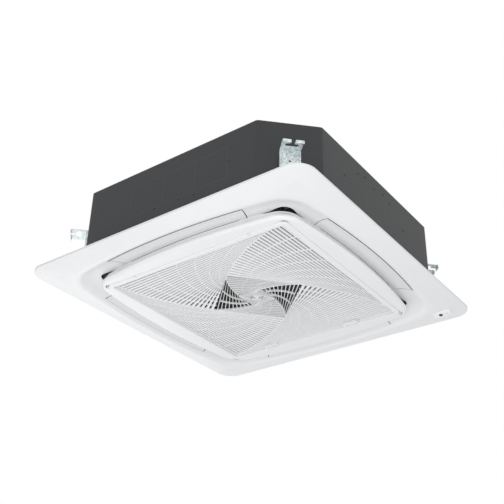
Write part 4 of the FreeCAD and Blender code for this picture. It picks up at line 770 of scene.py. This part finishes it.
class Val:
    """A number in a material's node tree, with the usual operators."""

    def __init__(self, finish, socket):
        self.finish, self.socket = finish, socket

    def math(self, operation, other=0.0, flip=False):
        """A Math node on this value and another one, in that order or flipped."""
        a, b = (other, self) if flip else (self, other)
        return self.finish.node("ShaderNodeMath", {"operation": operation}, {0: a, 1: b})

    def __add__(self, other):
        return self.math("ADD", other)

    def __mul__(self, other):
        return self.math("MULTIPLY", other)

    def __sub__(self, other):
        return self.math("SUBTRACT", other)

    def __rsub__(self, other):
        return self.math("SUBTRACT", other, True)

    __radd__, __rmul__ = __add__, __mul__

    def size(self):
        """The value without its sign."""
        return self.math("ABSOLUTE")

    def above(self, low):
        """1 where the value is above low, else 0."""
        return self.math("GREATER_THAN", low)

    def below(self, high):
        """1 where the value is below high, else 0."""
        return self.math("LESS_THAN", high)

    def ramp(self, start, end):
        """0 at start, 1 at end and a straight rise between."""
        return ((self - start) * (1 / (end - start))).math("MAXIMUM", 0.0).math("MINIMUM", 1.0)


print("sums and products of sockets ready")

# %% [markdown]
# A second class stands for one material. It adds nodes of any kind, links a value to a socket or sets a plain
# number on it, and has short names for the few nodes that nearly every finish needs.

# %% Finish builder

class Finish:
    """One material: its tree, its shader and a method that adds nodes."""

    def __init__(self, name):
        self.material = bpy.data.materials.new(name)
        self.material.use_nodes = True
        self.tree = self.material.node_tree
        self.shader = self.tree.nodes["Principled BSDF"]
        self.place = self.node("ShaderNodeTexCoord", out="Object")

    def put(self, socket, value):
        """Links a value to a socket, or sets a plain number or colour on it."""
        if isinstance(value, Val):
            self.tree.links.new(value.socket, socket)
        else:
            socket.default_value = value

    def node(self, kind, settings=(), inputs=(), out=0):
        """A node of a kind, its settings first, then its sockets; gives back one output."""
        made = self.tree.nodes.new(kind)
        for key, value in dict(settings).items():
            setattr(made, key, value)
        for key, value in dict(inputs).items():
            self.put(made.inputs[key], value)
        return Val(self, made.outputs[out])

    def noise(self, scale, detail=3.0):
        """Soft random values about 0.5, so many to the metre."""
        inputs = {"Vector": self.place, "Scale": scale, "Detail": detail}
        return self.node("ShaderNodeTexNoise", {}, inputs, "Fac")

    def mix(self, factor, first, second):
        """A colour between two others."""
        first, second = [c if isinstance(c, Val) else (*c, 1) for c in (first, second)]
        return self.node("ShaderNodeMix", {"data_type": "RGBA"}, {0: factor, 6: first, 7: second}, 2)

    def axes(self):
        """x, y and z of the point on the object, in metres."""
        return [self.node("ShaderNodeSeparateXYZ", {}, {0: self.place}, k) for k in range(3)]

    def bump(self, height, distance):
        """A normal tilted by a height, whose full step is the distance in metres."""
        inputs = {"Height": height, "Distance": distance, "Strength": 1.0}
        return self.node("ShaderNodeBump", {}, inputs)

    def set(self, **values):
        """Puts values on the shader's sockets and gives back the finished material."""
        for key, value in values.items():
            self.put(self.shader.inputs[key.replace("_", " ")], value)
        return self.material


def tone(colour, factor):
    """A colour made lighter or darker by a factor."""
    return tuple(min(c * factor, 1.0) for c in colour)


print("finish builder ready")

# %% [markdown]
# Moulded plastic is never one flat colour: the mould leaves a fine spark-eroded grain, and the gloss drifts a
# little over a big part. On the panel painted shade greys the hollow of the cove, and on the grille painted
# shade makes the sides of the fins greyer, and they are a little duller than their faces. Masks on x, y and z
# place both.

# %% Plastics
GRAIN, GRAIN_DEEP = 1900.0, 0.00002
DRIFT, GLOSS_DRIFT = 9.0, 60.0
# painted shade in the panel's cove: its heights, its reach and its tone
COVE_SHADE_Z, COVE_SHADE_REACH, COVE_SHADE_TONE = (-0.018, -0.008), 0.418, 0.95
# painted shade in the fin slots of the grille's outer figure: its heights, its square and its tone
SLOT_SHADE_Z, SLOT_SHADE_IN, SLOT_SHADE_OUT, SLOT_SHADE_TONE = (-0.0214, -0.0203), 0.143, 0.2974, 0.92


def satin(f, colour, rough):
    """Slow drift of the colour, faster drift of the gloss, and a fine grain."""
    tint = f.mix(f.noise(DRIFT, 2.0), tone(colour, 0.98), tone(colour, 1.02))
    return tint, rough + 0.08 * (f.noise(GLOSS_DRIFT) - 0.5), f.bump(f.noise(GRAIN, 2.0), GRAIN_DEEP)


def moulded_plastic(name, colour, rough):
    """Satin plastic as it comes from the mould."""
    f = Finish(name)
    tint, gloss, grain = satin(f, colour, rough)
    return f.set(Base_Color=tint, Roughness=gloss, Normal=grain)


def shaded_cove_plastic(name, colour, rough):
    """The panel's plastic, with painted shade greying the hollow of the cove."""
    f = Finish(name)
    x, y, z = f.axes()
    wide = x.size().math("MAXIMUM", y.size())
    # painted shade: the hollow of the cove is greyed in colour, where shadow would fall
    cove_shade = z.ramp(*COVE_SHADE_Z) * wide.below(COVE_SHADE_REACH) * (0.85 + 0.3 * f.noise(14.0))
    tint, gloss, grain = satin(f, colour, rough)
    return f.set(Base_Color=f.mix(cove_shade, tint, tone(colour, COVE_SHADE_TONE)), Roughness=gloss + 0.1 * cove_shade,
                 Normal=grain)


def slotted_plastic(name, colour, rough):
    """White on the face of the fins; in the slots of the outer figure greyer with painted shade, and duller.
    """
    f = Finish(name)
    x, y, z = f.axes()
    wide = x.size().math("MAXIMUM", y.size())
    outer = (x.size() + y.size()).above(SLOT_SHADE_IN) * wide.below(SLOT_SHADE_OUT)
    # painted shade: the sides of the fins in the slots are greyed in colour, where shadow would fall
    slot_shade = z.ramp(*SLOT_SHADE_Z) * outer * (0.9 + 0.2 * f.noise(40.0))
    return f.set(Base_Color=f.mix(slot_shade, colour, tone(colour, SLOT_SHADE_TONE)), Roughness=rough + 0.3 * slot_shade,
                 Normal=f.bump(f.noise(GRAIN, 2.0), GRAIN_DEEP))


print("plastics: satin, shaded_cove, slotted")

# %% [markdown]
# The casing is powder-painted. Thin scored lines mark knock-outs, too fine to model, so they are a mask of the
# distance to each line, used for a lighter colour and a shallow bump. The brackets are zinc-dipped steel,
# whose crystals show as patches: Voronoi cells, each with its own tone and gloss.

# %% Metals
SCORE_SHARP = 1100.0
FRONT_UPRIGHTS, FRONT_RAILS = (-0.136, -0.015, 0.096, 0.204), (0.086, 0.182)
RIGHT_UPRIGHTS, RIGHT_SPAN = (-0.186, -0.075, 0.03, 0.14), (0.085, 0.196)
SIDE_FACE = 0.4195


def score_lines(f):
    """Mask of the scored knock-outs: uprights and cross lines on the casing's front and right sides."""
    x, y, z = f.axes()

    def lines(value, places):
        """1 on a line, falling straight to 0 beside it, for all lines together."""
        marks = [(1.0 - (value - at).size() * SCORE_SHARP).math("MAXIMUM", 0.0) for at in places]
        return sum(marks[1:], marks[0])

    def within(value, low, high):
        """1 between low and high, else 0."""
        return value.above(low) * value.below(high)

    rails = lines(z, FRONT_RAILS) * within(x, FRONT_UPRIGHTS[0], FRONT_UPRIGHTS[-1])
    front = (lines(x, FRONT_UPRIGHTS) * within(z, *FRONT_RAILS) + rails) * y.below(-SIDE_FACE)
    right = lines(y, RIGHT_UPRIGHTS) * within(z, *RIGHT_SPAN) * x.above(SIDE_FACE)
    return front + right


def powder_paint(name, colour):
    """Dull paint with a fine orange peel, cloudy in tone, lighter along the scored lines."""
    f = Finish(name)
    speck, score = f.noise(1400.0, 2.0), score_lines(f)
    plain = f.mix(f.noise(6.0), tone(colour, 0.93), tone(colour, 1.07))
    return f.set(Base_Color=f.mix(0.5 * score, plain, tone(colour, 2.2)), Specular_IOR_Level=0.25,
                 Roughness=0.5 + 0.12 * (speck - 0.5), Normal=f.bump(speck + 6.0 * score, 0.00004))


def spangled_zinc(name, colour):
    """Zinc in crystals of about 5 mm, each with a tone and a gloss of its own."""
    f = Finish(name)
    cells = f.node("ShaderNodeTexVoronoi", {}, {"Vector": f.place, "Scale": 190.0}, "Color")
    value = f.node("ShaderNodeSeparateColor", {}, {0: cells}, 0)
    return f.set(Base_Color=f.mix(value, tone(colour, 0.7), tone(colour, 1.2)), Metallic=0.5,
                 Roughness=0.3 + 0.16 * value, Normal=f.bump(f.noise(700.0), 0.00002))


def worked_metal(name, colour, rough):
    """Bare metal with fine scuffs in tone, gloss and height."""
    f = Finish(name)
    scuff = f.noise(240.0, 5.0)
    return f.set(Base_Color=f.mix(scuff, tone(colour, 0.85), colour), Metallic=1.0,
                 Roughness=rough + 0.2 * (scuff - 0.5), Normal=f.bump(scuff, 0.00003))


print("score lines:", len(FRONT_UPRIGHTS + FRONT_RAILS + RIGHT_UPRIGHTS))

# %% [markdown]
# Some inner parts come into view when the grille hangs open. Foam shows its cells, the coil is a stack of thin
# fins that reads as fine bands, and the filter is a dark net. Each could be modelled, at thousands of faces
# for a glimpse, so a procedural pattern with a bump does the work.

# %% Foam, coil and net

def cellular_foam(name, colour):
    """Foam or rubber: Voronoi cells, hollow in the middle and darker towards their edges."""
    f = Finish(name)
    cells = f.node("ShaderNodeTexVoronoi", {}, {"Vector": f.place, "Scale": 420.0}, "Distance")
    return f.set(Base_Color=f.mix(cells, colour, tone(colour, 0.7)), Roughness=0.9,
                 Normal=f.bump(cells, 0.0004))


def finned_coil(name, colour):
    """Bright fin edges with painted shade in the gaps between them, as bands across the block."""
    f = Finish(name)
    inputs = {"Vector": f.place, "Scale": 220.0}
    # painted shade: the dark bands stand for the shadow in the gaps between the fins
    waves = f.node("ShaderNodeTexWave", {"bands_direction": "DIAGONAL"}, inputs, "Fac")
    return f.set(Base_Color=f.mix(waves, tone(colour, 0.4), colour), Metallic=0.8, Roughness=0.4,
                 Normal=f.bump(waves, 0.0005))


def filter_net(name, colour):
    """A fine dark weave."""
    f = Finish(name)
    weave = f.noise(900.0, 1.0)
    return f.set(Base_Color=f.mix(weave, tone(colour, 0.6), colour), Roughness=0.85,
                 Normal=f.bump(weave, 0.0002))


print("patterns: foam, coil, net")

# %% [markdown]
# Every finish is made once and shared. A CAD node takes the finish of its slot in the record, and a piece made
# here takes the one that it was tagged with. Only the receiver's housing, a glossier insert, differs from its
# slot.

# %% Finishes on the pieces
WHITE = (0.83, 0.835, 0.84)
finishes = {
    "panel_white": shaded_cove_plastic("satin white plastic", WHITE, 0.38),
    "grille_white": slotted_plastic("grille white plastic", WHITE, 0.42),
    "casing_grey": powder_paint("dark grey powder paint", (0.046, 0.047, 0.049)),
    "zinc_steel": spangled_zinc("spangled zinc", (0.77, 0.83, 0.85)),
    "screw_steel": worked_metal("plated steel", (0.62, 0.63, 0.65), 0.3),
    "foam_black": cellular_foam("black foam", (0.03, 0.03, 0.03)),
    "foam_white": cellular_foam("white foam", (0.7, 0.7, 0.68)),
    "duct_black": moulded_plastic("black plastic", (0.02, 0.02, 0.021), 0.5),
    "fan_plastic": moulded_plastic("dark fan plastic", (0.04, 0.04, 0.042), 0.45),
    "coil_aluminium": finned_coil("fin stack", (0.7, 0.72, 0.74)),
    "copper": worked_metal("drawn copper", (0.72, 0.36, 0.22), 0.28),
    "nut_brass": worked_metal("turned brass", (0.75, 0.55, 0.24), 0.3),
    "rubber_black": cellular_foam("bush rubber", (0.015, 0.015, 0.015)),
    "board_green": moulded_plastic("board lacquer", (0.02, 0.13, 0.05), 0.35),
    "filter_grey": filter_net("filter net", (0.02, 0.021, 0.023)),
    "drain_grey": moulded_plastic("grey pipe plastic", (0.3, 0.31, 0.32), 0.45),
    "lens_black": moulded_plastic("dark window", (0.006, 0.006, 0.007), 0.12),
    "lens_green": moulded_plastic("lamp window", (0.74, 0.78, 0.75), 0.2),
}
gloss_white = moulded_plastic("gloss white plastic", (0.93, 0.93, 0.92), 0.16)
node_slots = {part["node"]: part["material_slot"] for part in frame["record"]["subparts"]}
for name, node in frame["nodes"].items():
    node.data.materials.clear()
    node.data.materials.append(gloss_white if name == "receiver_housing" else finishes[node_slots[name]])
for obj in bpy.data.objects:
    if obj.type == "MESH" and "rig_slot" in obj:
        obj.data.materials.append(finishes[obj["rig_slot"]])
print(len(finishes), "finishes")

# %% [markdown]
# The camera stands below the panel and looks up at it. It could be aimed by eye, but its turn, tilt, roll and
# distance come from a fit to the straight edges in the photograph, and its lens from the fitted focal length
# in pixels. The object's origin lies a little off the picture's middle, so the place allows for that.

# %% Camera
TURN, TILT, ROLL = 36.843, -30.649, 1.385
DISTANCE, FOCAL, PICTURE = 2.583, 867.785, 504
AIM_X, AIM_Y = 256.58 + 0.5, 290.817 + 0.5
SENSOR, CLIP_END = 36.0, 50.0

a, e, r = [math.radians(angle) for angle in (TURN, TILT, ROLL)]
forward = -Vector((math.sin(a) * math.cos(e), -math.cos(a) * math.cos(e), math.sin(e)))
level_right = forward.cross(Vector((0, 0, 1))).normalized()
level_up = level_right.cross(forward)
right = math.cos(r) * level_right + math.sin(r) * level_up
up = math.cos(r) * level_up - math.sin(r) * level_right
aim = Vector(((AIM_X - PICTURE / 2) / FOCAL, (PICTURE / 2 - AIM_Y) / FOCAL, 1)).normalized() * DISTANCE
place = -(right * aim.x + up * aim.y + forward * aim.z)
camera = bpy.data.objects.new("camera", bpy.data.cameras.new("camera"))
camera.data.sensor_width = SENSOR
camera.data.lens = FOCAL / PICTURE * SENSOR
camera.data.clip_end = CLIP_END
camera.matrix_world = Matrix.Translation(place) @ Matrix((right, up, -forward)).transposed().to_4x4()
bpy.context.scene.collection.objects.link(camera)
bpy.context.scene.camera = camera
print("camera at", tuple(round(v, 3) for v in place))

# %% [markdown]
# A product shot of a ceiling unit stands against plain white. More light would only wash the object out, so
# the white is a second background that camera, mirror and glass rays see, while a dimmer, slightly cool fill
# lights the object.

# %% White background and fill
FILL_COLOUR, FILL_STRENGTH = (0.97, 0.985, 1.0, 1), 0.55
world = bpy.data.worlds.new("studio")
bpy.context.scene.world = world
world.use_nodes = True
tree = world.node_tree
fill, shown = tree.nodes["Background"], tree.nodes.new("ShaderNodeBackground")
for background, colour, strength in ((fill, FILL_COLOUR, FILL_STRENGTH), (shown, (1, 1, 1, 1), 1.0)):
    background.inputs["Color"].default_value = colour
    background.inputs["Strength"].default_value = strength
rays = tree.nodes.new("ShaderNodeLightPath").outputs
either = rays["Is Camera Ray"]
for ray in ("Is Glossy Ray", "Is Transmission Ray"):
    wider = tree.nodes.new("ShaderNodeMath")
    wider.operation = "MAXIMUM"
    tree.links.new(either, wider.inputs[0])
    tree.links.new(rays[ray], wider.inputs[1])
    either = wider.outputs[0]
choice = tree.nodes.new("ShaderNodeMixShader")
for socket, source in zip(choice.inputs, (either, fill.outputs[0], shown.outputs[0])):
    tree.links.new(source, socket)
tree.links.new(choice.outputs[0], tree.nodes["World Output"].inputs["Surface"])
print("fill", FILL_STRENGTH)

# %% [markdown]
# Small lamps would cut hard shadows, so these are large squares. The key stands under the panel, the front and
# side lamps model the casing and the near rims, and a far lamp keeps the other two sides from going flat.

# %% Lamps
LAMPS = (("key", (-0.15, -0.35, -2.55), (0, 0, 0), 2.4, 21),
         ("front", (1.2, -2.2, -1.3), (0, 0, 0), 1.2, 22),
         ("side", (2.8, -1.2, -0.4), (0, 0, 0.1), 1.6, 12),
         ("far", (-2.4, 1.3, -1.3), (0, 0, 0), 1.6, 13))
for name, spot, target, size, power in LAMPS:
    lamp = bpy.data.objects.new(name, bpy.data.lights.new(name, "AREA"))
    lamp.data.size, lamp.data.energy = size, power
    look = (Vector(target) - Vector(spot)).to_track_quat("-Z", "Y")
    lamp.matrix_world = Matrix.Translation(spot) @ look.to_matrix().to_4x4()
    bpy.context.scene.collection.objects.link(lamp)
print(len(LAMPS), "lamps")

# %% [markdown]
# The floor of the room lies far below a ceiling unit. One more lamp could stand in for it, but a pale sheet
# sends light back up as a real floor does.

# %% Floor
FLOOR_Z, FLOOR_HALF = -2.75, 6.0
floor_corners = [(x * FLOOR_HALF, y * FLOOR_HALF, FLOOR_Z) for x, y in ((-1, -1), (1, -1), (1, 1), (-1, 1))]
floor_mesh = bpy.data.meshes.new("floor")
floor_mesh.from_pydata(floor_corners, [], [(0, 1, 2, 3)])
floor = bpy.data.objects.new("floor", floor_mesh)
bpy.context.scene.collection.objects.link(floor)
paint = Finish("pale floor")
pale = paint.mix(paint.noise(0.8), (0.8, 0.8, 0.8), (0.84, 0.84, 0.84))
floor_mesh.materials.append(paint.set(Base_Color=pale, Roughness=0.8))
bpy.context.scene.view_settings.view_transform = "Standard"
print("floor at", FLOOR_Z, "m")
